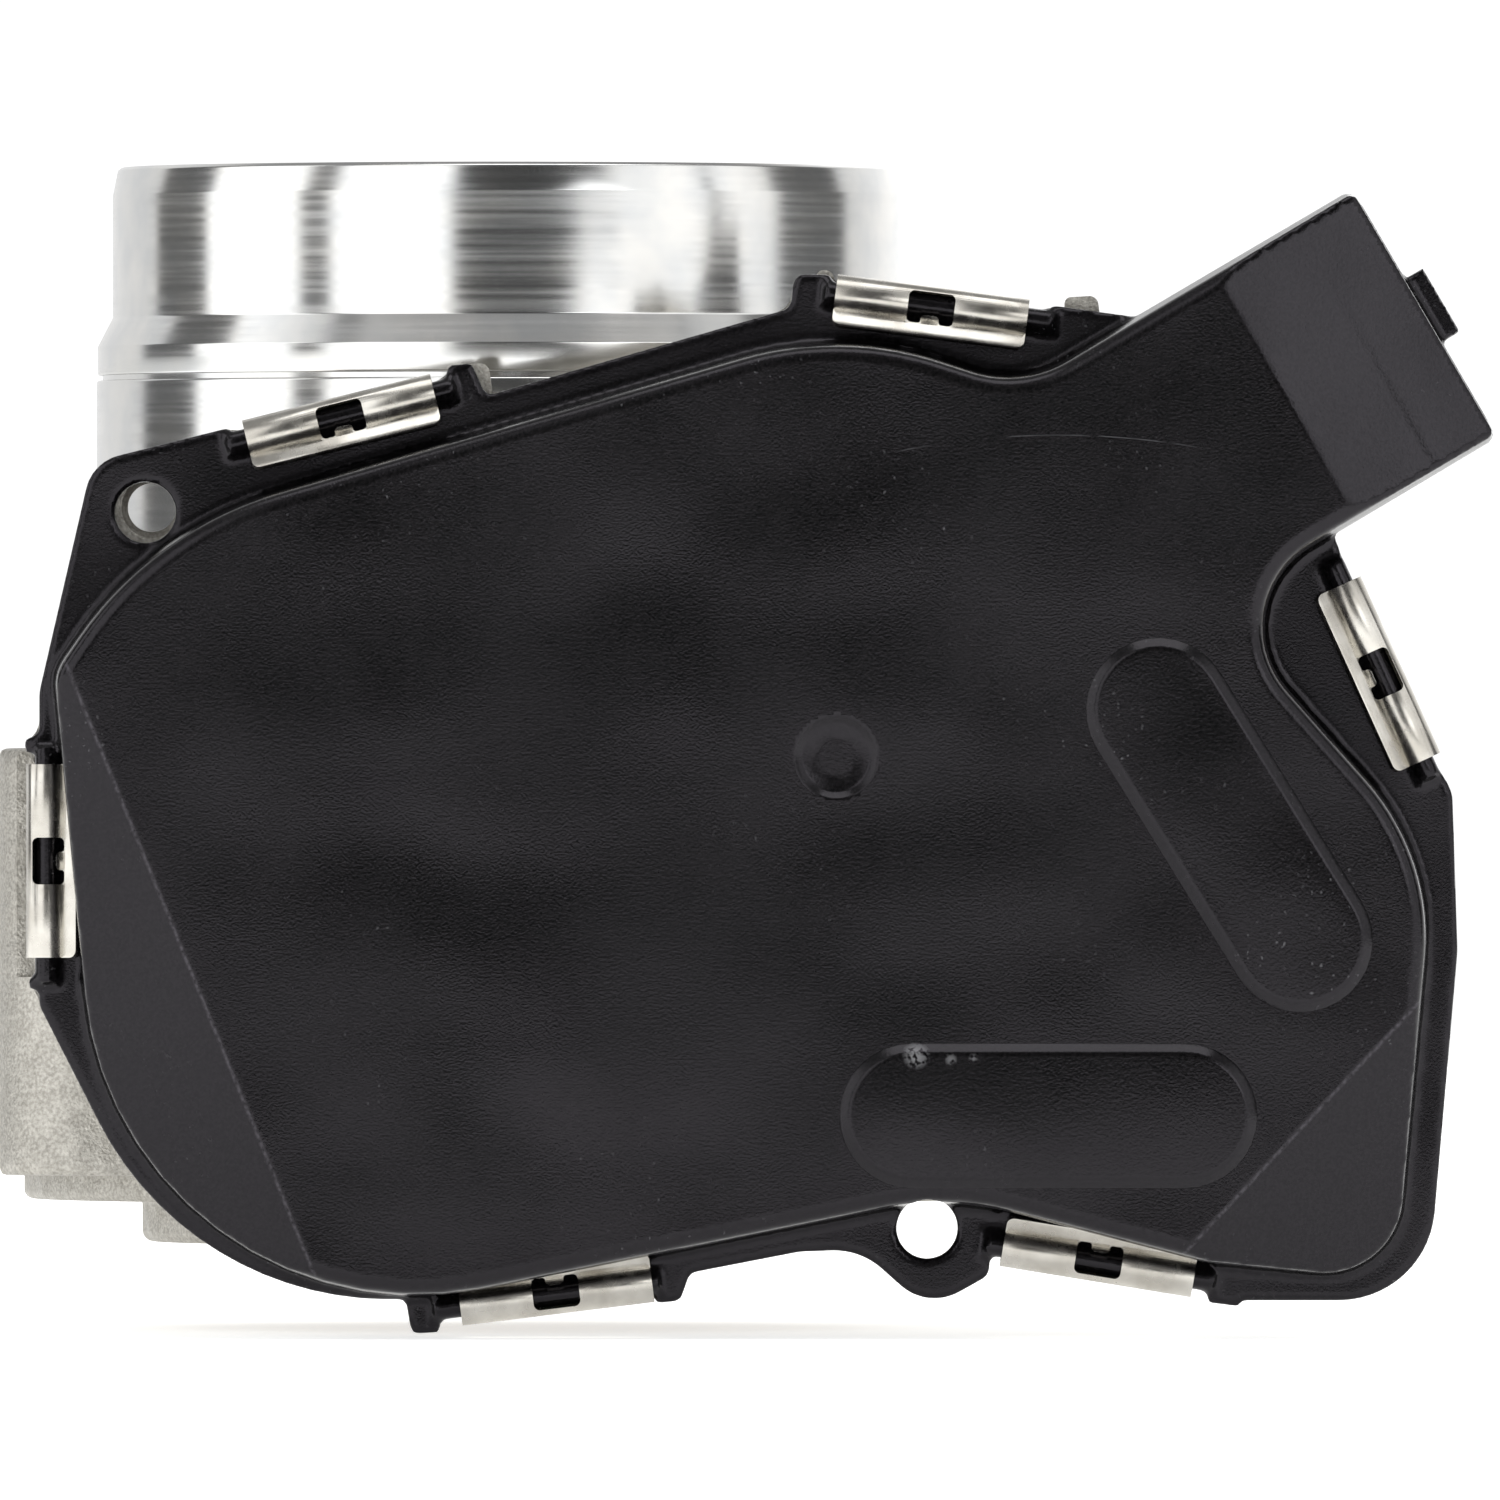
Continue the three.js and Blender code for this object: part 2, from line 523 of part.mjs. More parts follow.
// ---------------------------------------------------------------- gear cover
const MOUTH = (() => {
  const [[ex, ez], [fx, fz]] = CONNECTOR_MOUTH;
  const width = hypot(fx - ex, fz - ez);
  const outward = new V2(-(fz - ez) / width, (fx - ex) / width);
  return { frame: sideFrame((ex + fx) / 2, (ez + fz) / 2, 0, outward), width };
})();
const SHELL_WALL = 2.2;
const SOCKET_DEPTH = 16;
const LATCH_REACH = [-9, 2];
const LATCH_ACROSS = [-3.3, 3.9];
const PIN_COUNT = 6;
const PIN_PITCH = 3;
const PIN_SIDE = 0.8;
const PIN_INSIDE = 9;
const PIN_OUTSIDE = 9;
const mouthFront = DOME_Y + SLOPES[2].drop;
const socketFront = mouthFront + SHELL_WALL;
const socketBack = COVER_BACK_Y - SHELL_WALL;
const pinY = (socketFront + socketBack) / 2;
const PIN_SOCKET = 1.6; // depth of the cover's socket for the gear pin
const PIN_SOCKET_WALL = 2;
const PAD_R = 6.3;
const PAD_HEIGHT = 0.6;
const PADS = [
  [[63.5, 45.9], [77.4, 23.4]],
  [[39.4, 6.2], [66.1, 6.2]],
];
const DISH_R = 3.6;
const DISH_DEPTH = 0.9;

// What lies in front of a slope: the line runs from its first to its last point, with the
// outside of the dome on its right hand.
function slopeTool({ from, to, reach, drop }, inwards) {
  const length = hypot(to[0] - from[0], to[1] - from[1]);
  const outward = new V2((to[1] - from[1]) / length, -(to[0] - from[0]) / length);
  const frame = sideFrame(from[0], from[1], DOME_Y + inwards, outward);
  const fall = drop / reach;
  const section = [new V2(-8, -8 * fall), new V2(-8, -20), new V2(60, -20), new V2(60, 60 * fall)];
  return runAlong(section, frame, -40, length + 40);
}

function stadium([[ax, az], [bx, bz]], r) {
  const angle = atan2(bz - az, bx - ax);
  return [
    ...arc(bx, bz, r, angle - PI / 2, angle + PI / 2, 10),
    ...arc(ax, az, r, angle + PI / 2, angle + (3 * PI) / 2, 10),
  ];
}

function bead(bar) {
  const { frame, length } = barFrame(bar, COVER_FLANGE_Y);
  const geometry = new THREE.CylinderGeometry(BEAD_R, BEAD_R, length + 1, 16);
  geometry.rotateX(PI / 2).translate(-BEAD_R, 0, 0);
  return solid(geometry.applyMatrix4(frame));
}

const pinOffsets = Array.from({ length: PIN_COUNT }, (_, i) => (i - (PIN_COUNT - 1) / 2) * PIN_PITCH);

function pinIn(offset, clearance) {
  const side = PIN_SIDE / 2 + clearance;
  const inner = -SOCKET_DEPTH - PIN_INSIDE - clearance;
  const outer = -SOCKET_DEPTH + PIN_OUTSIDE;
  return boxIn(MOUTH.frame, inner, outer, pinY - side, pinY + side, offset - side, offset + side);
}

function gearCover() {
  const half = MOUTH.width / 2 - SHELL_WALL;
  const cavity = cut(
    slabY(rounded(inset(TRAY_OUTLINE, TRAY_WALL)), ROOF_Y, COVER_BACK_Y + EXTRA),
    ...SLOPES.map((slope) => slopeTool(slope, COVER_WALL + 0.4)),
  );
  const socket = boxIn(MOUTH.frame, -SOCKET_DEPTH, EXTRA, socketFront, socketBack, -half, half);
  const shell = cut(
    joined(
      slabY(rounded(JOINT_OUTLINE), COVER_FLANGE_Y, COVER_BACK_Y),
      slabY(rounded(DOME_OUTLINE), DOME_Y, COVER_BACK_Y),
      ...PADS.map((pad) => slabY(stadium(pad, PAD_R), DOME_Y - PAD_HEIGHT, DOME_Y + 1)),
    ),
    ...SLOPES.map((slope) => slopeTool(slope, 0)),
    ...Object.keys(BARS).map((bar) => clipPocket(bar, COVER_FLANGE_Y - CLIP_FRONT_ROOM, COVER_FLANGE_Y)),
    cavity,
    socket,
    rodY(GEAR_X, GEAR_Z, DISH_R, DOME_Y - EXTRA, DOME_Y + DISH_DEPTH, 24),
    ...LOCATING_HOLES.map(([x, z]) =>
      rodY(x, z, LOCATING_HOLE_R, DOME_Y - EXTRA, COVER_BACK_Y + EXTRA)),
  );
  const latchBack = COVER_BACK_Y + SHELL_WALL;
  const latch = boxIn(MOUTH.frame, ...LATCH_REACH, COVER_BACK_Y - EXTRA, latchBack, ...LATCH_ACROSS);
  const socketR = [PIN_R + GAP, PIN_R + PIN_SOCKET_WALL];
  const pinSocket = ringY(GEAR_X, GEAR_Z, ...socketR, ROOF_Y + PIN_SOCKET, ROOF_Y - EXTRA);
  const beads = Object.keys(BARS).map(bead);
  return cut(
    joined(shell, latch, pinSocket, ...beads),
    ...pinOffsets.map((offset) => pinIn(offset, GAP)),
  );
}

// ---------------------------------------------------------------- spring clips
// Centre line of a clip's section: front leaf, roll over the bead, back leg and its lead-in.
function clipSection() {
  const roll = BEAD_R + GAP + SHEET / 2;
  const bend = CLIP_BEND;
  const rearY = JOINT_Y + JOINT_FLANGE + GAP + SHEET / 2;
  const outer = roll - BEAD_R;
  const leaf = arc(-BEAD_R, COVER_FLANGE_Y, roll, rad(-145), rad(0), 8);
  const bottom = arc(outer - bend, rearY - bend, bend, 0, PI / 2, 3);
  const line = [
    new V2(-CLIP_REACH, COVER_FLANGE_Y - CLIP_TIP),
    ...leaf,
    ...bottom,
    new V2(-CLIP_REACH + 1, rearY),
    new V2(-CLIP_REACH, rearY + CLIP_BEND),
  ];
  const sideOf = (distance) => line.map((point, i) => {
    const from = line[max(i - 1, 0)];
    const to = line[Math.min(i + 1, line.length - 1)];
    const along = new V2(to.x - from.x, to.y - from.y).normalize();
    return new V2(point.x - along.y * distance, point.y + along.x * distance);
  });
  return [...sideOf(SHEET / 2), ...sideOf(-SHEET / 2).reverse()];
}

function clip(bar, shift) {
  const { frame } = barFrame(bar, 0);
  const half = CLIP_LENGTH / 2;
  const window = WINDOW_LENGTH / 2;
  const [inner, outer] = WINDOW_REACH;
  const front = COVER_FLANGE_Y - BEAD_R - 2 * EXTRA;
  const back = COVER_FLANGE_Y - BEAD_R / 3;
  return cut(
    runAlong(clipSection(), frame, -half - shift, half - shift),
    boxIn(frame, inner, outer, front, back, -window - shift, window - shift),
  );
}

// ---------------------------------------------------------------- throttle shaft and plate
// These pieces are drawn with the plate square across the bore and then turned to rest.
const throttle = new THREE.Group();
throttle.position.set(0, 0, SHAFT_Z);
throttle.rotation.y = rad(REST_OPENING);
group.add(throttle);

const SHAFT_FRONT_Y = SECTOR_FRONT_Y - 1;
const PLATE_R = BORE_R - PLATE_CLEARANCE;
const SCREW_Y = BORE_R * 0.45;
const FLAT_HALF = BORE_R - 4; // half the length of the flat under the screws

function throttleShaft() {
  const slot = PLATE_THICKNESS / 2 + GAP;
  return cut(
    rodY(0, 0, SHAFT_R, SHAFT_FRONT_Y, FAR_Y - 0.9),
    box(-SHAFT_R - 1, SHAFT_R + 1, -BORE_R - GAP, BORE_R + GAP, -slot, slot),
    box(-SHAFT_R - 1, SHAFT_R + 1, -FLAT_HALF, FLAT_HALF, SHAFT_FLAT, SHAFT_R + 1),
    ...[-1, 1].map((s) => rodZ(0, s * SCREW_Y, SCREW_R + GAP, -SHAFT_R - 1, SHAFT_R + 1, 16)),
  );
}

function throttlePlate() {
  const thickness = PLATE_THICKNESS / 2;
  return cut(
    rodZ(0, 0, PLATE_R, -thickness, thickness, BORE_SIDES),
    ...[-1, 1].map((s) => rodZ(0, s * SCREW_Y, SCREW_R + GAP, -5, 5, 16)),
  );
}

function plateScrew(side) {
  const flat = SHAFT_FLAT + GAP;
  return joined(
    rodZ(0, side * SCREW_Y, SCREW_R, -SHAFT_R + 0.4, flat + SCREW_HEAD / 2, 16),
    rodZ(0, side * SCREW_Y, SCREW_HEAD_R, flat, flat + SCREW_HEAD, 16),
  );
}

// ---------------------------------------------------------------- gears
// Points of one tooth about angle 0, from its leading root to its trailing root.
function toothPoints(teeth, shift) {
  const pitch = (MODULE * teeth) / 2;
  const base = pitch * cos(PRESSURE_ANGLE);
  const root = rootOf(teeth, shift);
  const tip = tipOf(teeth, shift);
  const thickness = MODULE * (PI / 2 + 2 * shift * tan(PRESSURE_ANGLE)) - 2 * TOOTH_THINNING;
  const involute = (angle) => tan(angle) - angle;
  const half = (r) => {
    const angle = r > base ? acos(base / r) : 0;
    return thickness / (2 * pitch) + involute(PRESSURE_ANGLE) - involute(angle);
  };
  const start = max(root, base);
  const steps = teeth < 20 ? 3 : 2;
  const flank = Array.from({ length: steps + 1 }, (_, k) => start + ((tip - start) * k) / steps);
  if (root < base - 0.1) flank.unshift(root);
  const leading = flank.map((r) => [r, half(r)]);
  const trailing = flank.map((r) => [r, -half(r)]).reverse();
  return [...leading, ...trailing];
}

function gearLoop(teeth, shift, x, z, phase, first = 0, count = teeth) {
  const loop = [];
  for (let i = 0; i < count; i += 1) {
    const middle = phase - ((first + i) * 2 * PI) / teeth;
    toothPoints(teeth, shift).forEach(([r, turn]) => {
      loop.push(new V2(x + r * cos(middle + turn), z + r * sin(middle + turn)));
    });
  }
  return loop;
}

const HALF_PINION_TOOTH = PI / PINION_TEETH;
const HUB_R = SHAFT_R + 4;
const SECTOR_TEETH = 17;

// Sector gear: teeth on the side that meets the pinion, a hub, and two lightening holes.
function sectorGear() {
  const pitchAngle = 360 / WHEEL_TEETH;
  const tilt = FIRST_TILT * (180 / PI);
  const before = round((SECTOR_LAST - tilt) / pitchAngle - 0.5);
  const teeth = gearLoop(WHEEL_TEETH, WHEEL_SHIFT, 0, 0, FIRST_TILT, -before, SECTOR_TEETH);
  const last = rad(SECTOR_LAST);
  const first = rad(SECTOR_FIRST);
  const edge = (angle, r) => new V2(r * cos(angle), r * sin(angle));
  const outline = [
    edge(last, WHEEL_ROOT),
    ...teeth,
    edge(first, WHEEL_ROOT),
    ...arc(0, 0, HUB_R, first, last - 2 * PI, 16),
  ];
  const y0 = SECTOR_FRONT_Y;
  const y1 = SECTOR_BACK_Y;
  const middle = (HUB_R + WHEEL_ROOT) / 2;
  const holeR = (WHEEL_ROOT - HUB_R) / 4;
  const holes = [18, 66].map((degrees) => {
    const angle = rad(degrees);
    return rodY(middle * cos(angle), middle * sin(angle), holeR, y0 - EXTRA, y1 + EXTRA, 20);
  });
  const blank = joined(
    slabY(outline, y0, y1),
    rodY(0, 0, HUB_R, y1 - 1, FLOOR_Y - 0.5),
    rodY(0, 0, HUB_R, y0, y1),
  );
  return cut(blank, rodY(0, 0, SHAFT_R + GAP, y0 - EXTRA, FLOOR_Y), ...holes);
}

function intermediateGear() {
  const pinionPhase = FIRST_TILT + PI + HALF_PINION_TOOTH;
  const wheel = gearLoop(WHEEL_TEETH, WHEEL_SHIFT, GEAR_X, GEAR_Z, SECOND_TILT);
  const pinion = gearLoop(PINION_TEETH, PINION_SHIFT, GEAR_X, GEAR_Z, pinionPhase);
  return cut(
    joined(
      slabY(wheel, WHEEL_FRONT_Y, WHEEL_BACK_Y),
      slabY(pinion, WHEEL_BACK_Y - 1, SECTOR_BACK_Y + 0.5),
    ),
    rodY(GEAR_X, GEAR_Z, PIN_R + RUNNING, WHEEL_FRONT_Y - 1, SECTOR_BACK_Y + 2),
    ringY(GEAR_X, GEAR_Z, PINION_TIP + 2, WHEEL_ROOT - 3, WHEEL_FRONT_Y - 1, WHEEL_FRONT_Y + 1.6, 28),
  );
}

function motorPinion() {
  const phase = SECOND_TILT + PI + HALF_PINION_TOOTH;
  const pinion = gearLoop(PINION_TEETH, PINION_SHIFT, MOTOR_X, MOTOR_Z, phase);
  return cut(
    slabY(pinion, WHEEL_FRONT_Y, SECTOR_FRONT_Y + 1),
    rodY(MOTOR_X, MOTOR_Z, ARMATURE_SHAFT_R + GAP, WHEEL_FRONT_Y - 1, SECTOR_FRONT_Y + 2, 20),
  );
}

// ---------------------------------------------------------------- motor
const CAN_FRONT_Y = FLOOR_Y + GAP;
const CAN_BACK_Y = CAN_FRONT_Y + CAN_LENGTH;
const END_PLATE = 1.6;
const EAR_AT = CAN_R + 6;
const EAR_ANGLES = [100, 280];
const MOTOR_SCREW_R = 2;
const MAGNET_R = CAN_R - CAN_WALL - GAP;
const CORE_R = MAGNET_R - MAGNET_THICKNESS - ARMATURE_GAP;
const CORE_Y = [CAN_FRONT_Y + 17, CAN_BACK_Y - 7];
const COMMUTATOR_R = 4.5;
const COMMUTATOR_Y = [CAN_FRONT_Y + 4.5, CAN_FRONT_Y + 11.5];
const TERMINAL_AT = 9.5;

const ears = EAR_ANGLES.map((degrees) => {
  const angle = rad(degrees);
  return [MOTOR_X + EAR_AT * cos(angle), MOTOR_Z + EAR_AT * sin(angle)];
});

function motorScrewHoles() {
  return ears.map(([x, z]) => rodY(x, z, MOTOR_SCREW_R + GAP, FLOOR_Y - EXTRA, CLIP_POCKET_BACK_Y, 16));
}

function motorCan() {
  const boss = ARMATURE_SHAFT_R + 3;
  const inner = CAN_R - CAN_WALL;
  return turned([
    [CAN_R, CAN_FRONT_Y], [CAN_R, CAN_BACK_Y], [boss, CAN_BACK_Y], [boss, CAN_BACK_Y + 2],
    [boss - 1, CAN_BACK_Y + 2], [boss - 1, CAN_BACK_Y - CAN_WALL],
    [inner, CAN_BACK_Y - CAN_WALL], [inner, CAN_FRONT_Y], [CAN_R, CAN_FRONT_Y],
  ], 32, [MOTOR_X, MOTOR_Z]);
}

function motorMagnet(side) {
  const span = rad(62);
  const middle = side > 0 ? 0 : PI;
  const inner = MAGNET_R - MAGNET_THICKNESS;
  const loop = [
    ...arc(MOTOR_X, MOTOR_Z, MAGNET_R, middle - span, middle + span, 14),
    ...arc(MOTOR_X, MOTOR_Z, inner, middle + span, middle - span, 14),
  ];
  return slabY(loop, CORE_Y[0] - 1, CORE_Y[1] + 1);
}

function terminal(side, clearance) {
  const x = MOTOR_X + side * TERMINAL_AT;
  const half = 2 + clearance;
  const thin = 0.4 + clearance;
  const y = CAN_FRONT_Y - 11;
  return box(x - thin, x + thin, y - clearance, CAN_FRONT_Y + 2.5, MOTOR_Z - half, MOTOR_Z + half);
}

function endPlate() {
  const back = FLOOR_Y - GAP;
  const front = back - END_PLATE;
  const ear = ears.map(([x, z]) => rodY(x, z, MOTOR_SCREW_R + 2.6, front, back, 24));
  return cut(
    joined(rodY(MOTOR_X, MOTOR_Z, CAN_R + 1.6, front, back, 32), ...ear),
    rodY(MOTOR_X, MOTOR_Z, ARMATURE_SHAFT_R + 1.8 + GAP, front - 1, back + 1, 24),
    ...ears.map(([x, z]) => rodY(x, z, MOTOR_SCREW_R + GAP, front - 1, back + 1, 16)),
    ...[-1, 1].map((side) => terminal(side, GAP)),
  );
}

function motorScrew([x, z]) {
  const seat = FLOOR_Y - 2 * GAP - END_PLATE;
  return cut(
    joined(
      rodY(x, z, MOTOR_SCREW_R, seat - 1, BACK_Y - 1.2, 16),
      rodY(x, z, MOTOR_SCREW_R + 1.7, seat - 2.6, seat, 20),
    ),
    box(x - 2.2, x + 2.2, seat - 3, seat - 1.6, z - 0.4, z + 0.4),
  );
}

function brushHolder() {
  const inner = CAN_R - CAN_WALL - GAP;
  const y0 = CAN_FRONT_Y;
  const y1 = COMMUTATOR_Y[1] + 1;
  return cut(
    rodY(MOTOR_X, MOTOR_Z, inner, y0, y1, 32),
    rodY(MOTOR_X, MOTOR_Z, COMMUTATOR_R + 1, y0 + 3.4, y1 + 1, 32),
    rodY(MOTOR_X, MOTOR_Z, ARMATURE_SHAFT_R + 2 + GAP, y0 - 1, y0 + 4, 24),
    ...[-1, 1].flatMap((side) => [brushBox(side, GAP), terminal(side, GAP)]),
  );
}

// A carbon brush, square to the shaft and one running gap clear of the commutator.
function brushBox(side, clearance) {
  const z0 = COMMUTATOR_R + GAP;
  const z1 = z0 + 6;
  const y = (COMMUTATOR_Y[0] + COMMUTATOR_Y[1]) / 2;
  const low = side > 0 ? MOTOR_Z + z0 - clearance : MOTOR_Z - z1 - clearance;
  const high = side > 0 ? MOTOR_Z + z1 + clearance : MOTOR_Z - z0 + clearance;
  const half = 2.2 + clearance;
  return box(MOTOR_X - half, MOTOR_X + half, y - 2 - clearance, y + 2 + clearance, low, high);
}

const SLOTS = 5;

function armatureSlots(clearance) {
  return Array.from({ length: SLOTS }, (_, i) => {
    const angle = (i * 2 * PI) / SLOTS;
    const geometry = new THREE.BoxGeometry(CORE_R * 0.5, CORE_Y[1] - CORE_Y[0] + 2, 3 - clearance);
    const reach = CORE_R * 0.72;
    geometry.translate(reach, (CORE_Y[0] + CORE_Y[1]) / 2, 0).rotateY(angle);
    return solid(geometry.translate(MOTOR_X, 0, MOTOR_Z));
  });
}

function armatureCore() {
  return cut(
    rodY(MOTOR_X, MOTOR_Z, CORE_R, ...CORE_Y, 30),
    ...armatureSlots(0),
    rodY(MOTOR_X, MOTOR_Z, ARMATURE_SHAFT_R + GAP, CORE_Y[0] - 1, CORE_Y[1] + 1, 20),
  );
}

function armatureWindings() {
  const hole = ARMATURE_SHAFT_R + 1;
  const outer = CORE_R - 0.8;
  const rings = [[CORE_Y[0] - 4, CORE_Y[0] - GAP], [CORE_Y[1] + GAP, CORE_Y[1] + 3.5]];
  const bars = Array.from({ length: SLOTS }, (_, i) => {
    const angle = (i * 2 * PI) / SLOTS;
    const length = CORE_Y[1] - CORE_Y[0] + 2;
    const geometry = new THREE.BoxGeometry(CORE_R * 0.5 - 1.4, length, 3 - 2 * GAP);
    geometry.translate(CORE_R * 0.72 - 0.2, (CORE_Y[0] + CORE_Y[1]) / 2, 0).rotateY(angle);
    return solid(geometry.translate(MOTOR_X, 0, MOTOR_Z));
  });
  return joined(
    ...rings.map(([y0, y1]) => ringY(MOTOR_X, MOTOR_Z, hole, outer, y0, y1, 24)),
    ...bars,
  );
}

function waveSpring() {
  const inner = ARMATURE_SHAFT_R + 3 + 1;
  return ringY(MOTOR_X, MOTOR_Z, inner, inner + 3, CAN_BACK_Y + GAP, POT_Y - GAP, 24);
}

// ---------------------------------------------------------------- return spring
const WIRE_R = 0.7;
const SPRING_TURNS = 6;
const SPRING_R = BEARING_BOSS_R + 2.9;

function returnSpring() {
  const y0 = SECTOR_BACK_Y + GAP + WIRE_R;
  const y1 = POCKET_Y - GAP - WIRE_R;
  class Coil extends THREE.Curve {
    getPoint(t) {
      const angle = t * SPRING_TURNS * 2 * PI;
      return new V3(SPRING_R * cos(angle), y0 + (y1 - y0) * t, SHAFT_Z + SPRING_R * sin(angle));
    }
  }
  const section = new THREE.Shape(arc(0, 0, WIRE_R, 0, 2 * PI, 5).slice(0, 5));
  const steps = SPRING_TURNS * 12;
  const geometry = new THREE.ExtrudeGeometry(section, { steps, extrudePath: new Coil() });
  return solid(geometry);
}

// ---------------------------------------------------------------- assembly
add("throttle_housing", throttleHousing(), CAST_ALUMINIUM);
add("gear_cover", gearCover(), MOULDED_BLACK);
const sealFront = COVER_BACK_Y + GAP;
add("cover_seal", sealRing(SEAL_INSET, SEAL_WIDTH, sealFront, JOINT_Y + SEAL_DEPTH - GAP), RUBBER);
add("manifold_seal", manifoldRing(0, -PILOT_DEPTH, -PILOT_DEPTH + SEAL_CORD - EXTRA - GAP), RUBBER);
CLIPS.forEach(([bar, shift], i) => add(`cover_clip_${i + 1}`, clip(bar, shift), SPRING_STEEL));
pinOffsets.forEach((offset, i) => add(`connector_pin_${i + 1}`, pinIn(offset, 0), BRASS));

const shaftHole = SHAFT_R + RUNNING;
const bearingFront = FLOOR_Y + GAP;
const sealStart = bearingFront + BEARING_LENGTH + GAP;
const shaftPiece = (y0, y1) => ringY(0, SHAFT_Z, shaftHole, BEARING_R, y0, y1);
add("drive_side_bearing", shaftPiece(bearingFront, bearingFront + BEARING_LENGTH), STEEL);
add("drive_side_shaft_seal", shaftPiece(sealStart, sealStart + SHAFT_SEAL_LENGTH), RUBBER);
add("far_side_bearing", shaftPiece(-bearingFront - BEARING_LENGTH, -bearingFront), STEEL);
add("far_side_shaft_seal", shaftPiece(-sealStart - SHAFT_SEAL_LENGTH, -sealStart), RUBBER);
add("bearing_end_cap", rodY(0, SHAFT_Z, BEARING_R, FAR_Y, FAR_Y + 1.6), STEEL);

add("throttle_shaft", throttleShaft(), STEEL, throttle);
add("throttle_plate", throttlePlate(), BRASS, throttle);
[-1, 1].forEach((side, i) => add(`plate_screw_${i + 1}`, plateScrew(side), STEEL, throttle));
const sector = new THREE.Group();
sector.position.set(0, 0, SHAFT_Z);
group.add(sector);
add("sector_gear", sectorGear(), GEAR_DARK, sector);
const magnetBack = SHAFT_FRONT_Y - GAP;
add("sensor_magnet", rodY(0, 0, SHAFT_R - 1, magnetBack - 2.5, magnetBack), MAGNET, sector);
add("return_spring", returnSpring(), STEEL);
const sleeveInner = BEARING_BOSS_R + GAP;
const sleeveY = [SECTOR_BACK_Y + 1, POCKET_Y - GAP];
add("spring_sleeve", ringY(0, SHAFT_Z, sleeveInner, sleeveInner + 0.8, ...sleeveY), GEAR_NYLON);
const stopScrew = screwAlong(stopFrame, STOP_SCREW_R, GAP, GAP + STOP_SCREW_LENGTH);
add("closed_stop_screw", stopScrew, STEEL);

add("intermediate_gear", intermediateGear(), GEAR_NYLON);
add("intermediate_gear_pin", rodY(GEAR_X, GEAR_Z, PIN_R, ROOF_Y + GAP, BACK_Y + 1 - GAP), STEEL);

add("motor_can", motorCan(), STEEL);
add("motor_magnet_1", motorMagnet(-1), MAGNET);
add("motor_magnet_2", motorMagnet(1), MAGNET);
add("motor_end_plate", endPlate(), STEEL);
ears.forEach((ear, i) => add(`motor_screw_${i + 1}`, motorScrew(ear), STEEL));
add("brush_holder", brushHolder(), MOULDED_BLACK);
[-1, 1].forEach((side, i) => add(`brush_${i + 1}`, brushBox(side, 0), CARBON));
[-1, 1].forEach((side, i) => add(`motor_terminal_${i + 1}`, terminal(side, 0), BRASS));
const bushHole = ARMATURE_SHAFT_R + RUNNING;
const bush = (y0, y1) => ringY(MOTOR_X, MOTOR_Z, bushHole, ARMATURE_SHAFT_R + 1.7, y0, y1, 20);
add("motor_front_bush", bush(FLOOR_Y - GAP - END_PLATE, CAN_FRONT_Y + 2.8), BRASS);
add("motor_rear_bush", bush(CAN_BACK_Y - 2.2, CAN_BACK_Y + 1.8), BRASS);
add("motor_wave_spring", waveSpring(), SPRING_STEEL);
const armatureY = [WHEEL_FRONT_Y, CAN_BACK_Y + 1.5];
add("armature_shaft", rodY(MOTOR_X, MOTOR_Z, ARMATURE_SHAFT_R, ...armatureY, 20), STEEL);
add("armature_core", armatureCore(), STEEL);
add("armature_windings", armatureWindings(), COPPER);
const commutatorHole = ARMATURE_SHAFT_R + GAP;
const commutator = ringY(MOTOR_X, MOTOR_Z, commutatorHole, COMMUTATOR_R, ...COMMUTATOR_Y, 30);
add("commutator", commutator, COPPER);
add("motor_pinion", motorPinion(), BRASS);

const boardBack = ROOF_Y + GAP + 1.2;
const boardLoop = rounded([[-14, 56, 2], [12, 56, 2], [12, 22, 2], [-14, 22, 2]]);
add("sensor_board", slabY(boardLoop, ROOF_Y + GAP, boardBack), BOARD_GREEN);
add("sensor_chip", box(-2.8, 2.8, boardBack + GAP, boardBack + GAP + 1, SHAFT_Z - 2.8, SHAFT_Z + 2.8), CARBON);

export default group;
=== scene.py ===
from math import atan2, cos, pi, radians, sin, sqrt, tan

import bmesh
import bpy
from mathutils import Matrix, Vector, noise


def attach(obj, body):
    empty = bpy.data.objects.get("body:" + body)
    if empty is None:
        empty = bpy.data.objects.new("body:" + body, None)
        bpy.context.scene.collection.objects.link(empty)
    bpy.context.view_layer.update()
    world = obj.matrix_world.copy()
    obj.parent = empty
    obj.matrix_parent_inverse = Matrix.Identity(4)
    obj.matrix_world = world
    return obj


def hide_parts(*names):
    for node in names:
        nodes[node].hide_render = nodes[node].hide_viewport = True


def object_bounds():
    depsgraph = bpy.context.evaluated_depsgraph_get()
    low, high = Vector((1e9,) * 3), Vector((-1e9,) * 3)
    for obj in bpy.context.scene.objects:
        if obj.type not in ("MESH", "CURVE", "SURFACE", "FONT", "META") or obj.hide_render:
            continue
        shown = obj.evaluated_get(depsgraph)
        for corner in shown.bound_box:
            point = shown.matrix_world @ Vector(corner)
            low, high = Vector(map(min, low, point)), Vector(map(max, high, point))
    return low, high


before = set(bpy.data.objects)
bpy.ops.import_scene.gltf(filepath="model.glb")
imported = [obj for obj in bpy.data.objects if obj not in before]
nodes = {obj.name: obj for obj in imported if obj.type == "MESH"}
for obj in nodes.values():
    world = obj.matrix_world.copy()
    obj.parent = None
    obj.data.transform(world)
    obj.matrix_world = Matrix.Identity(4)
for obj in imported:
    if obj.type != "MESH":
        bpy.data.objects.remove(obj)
cad_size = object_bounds()
MM = 0.001

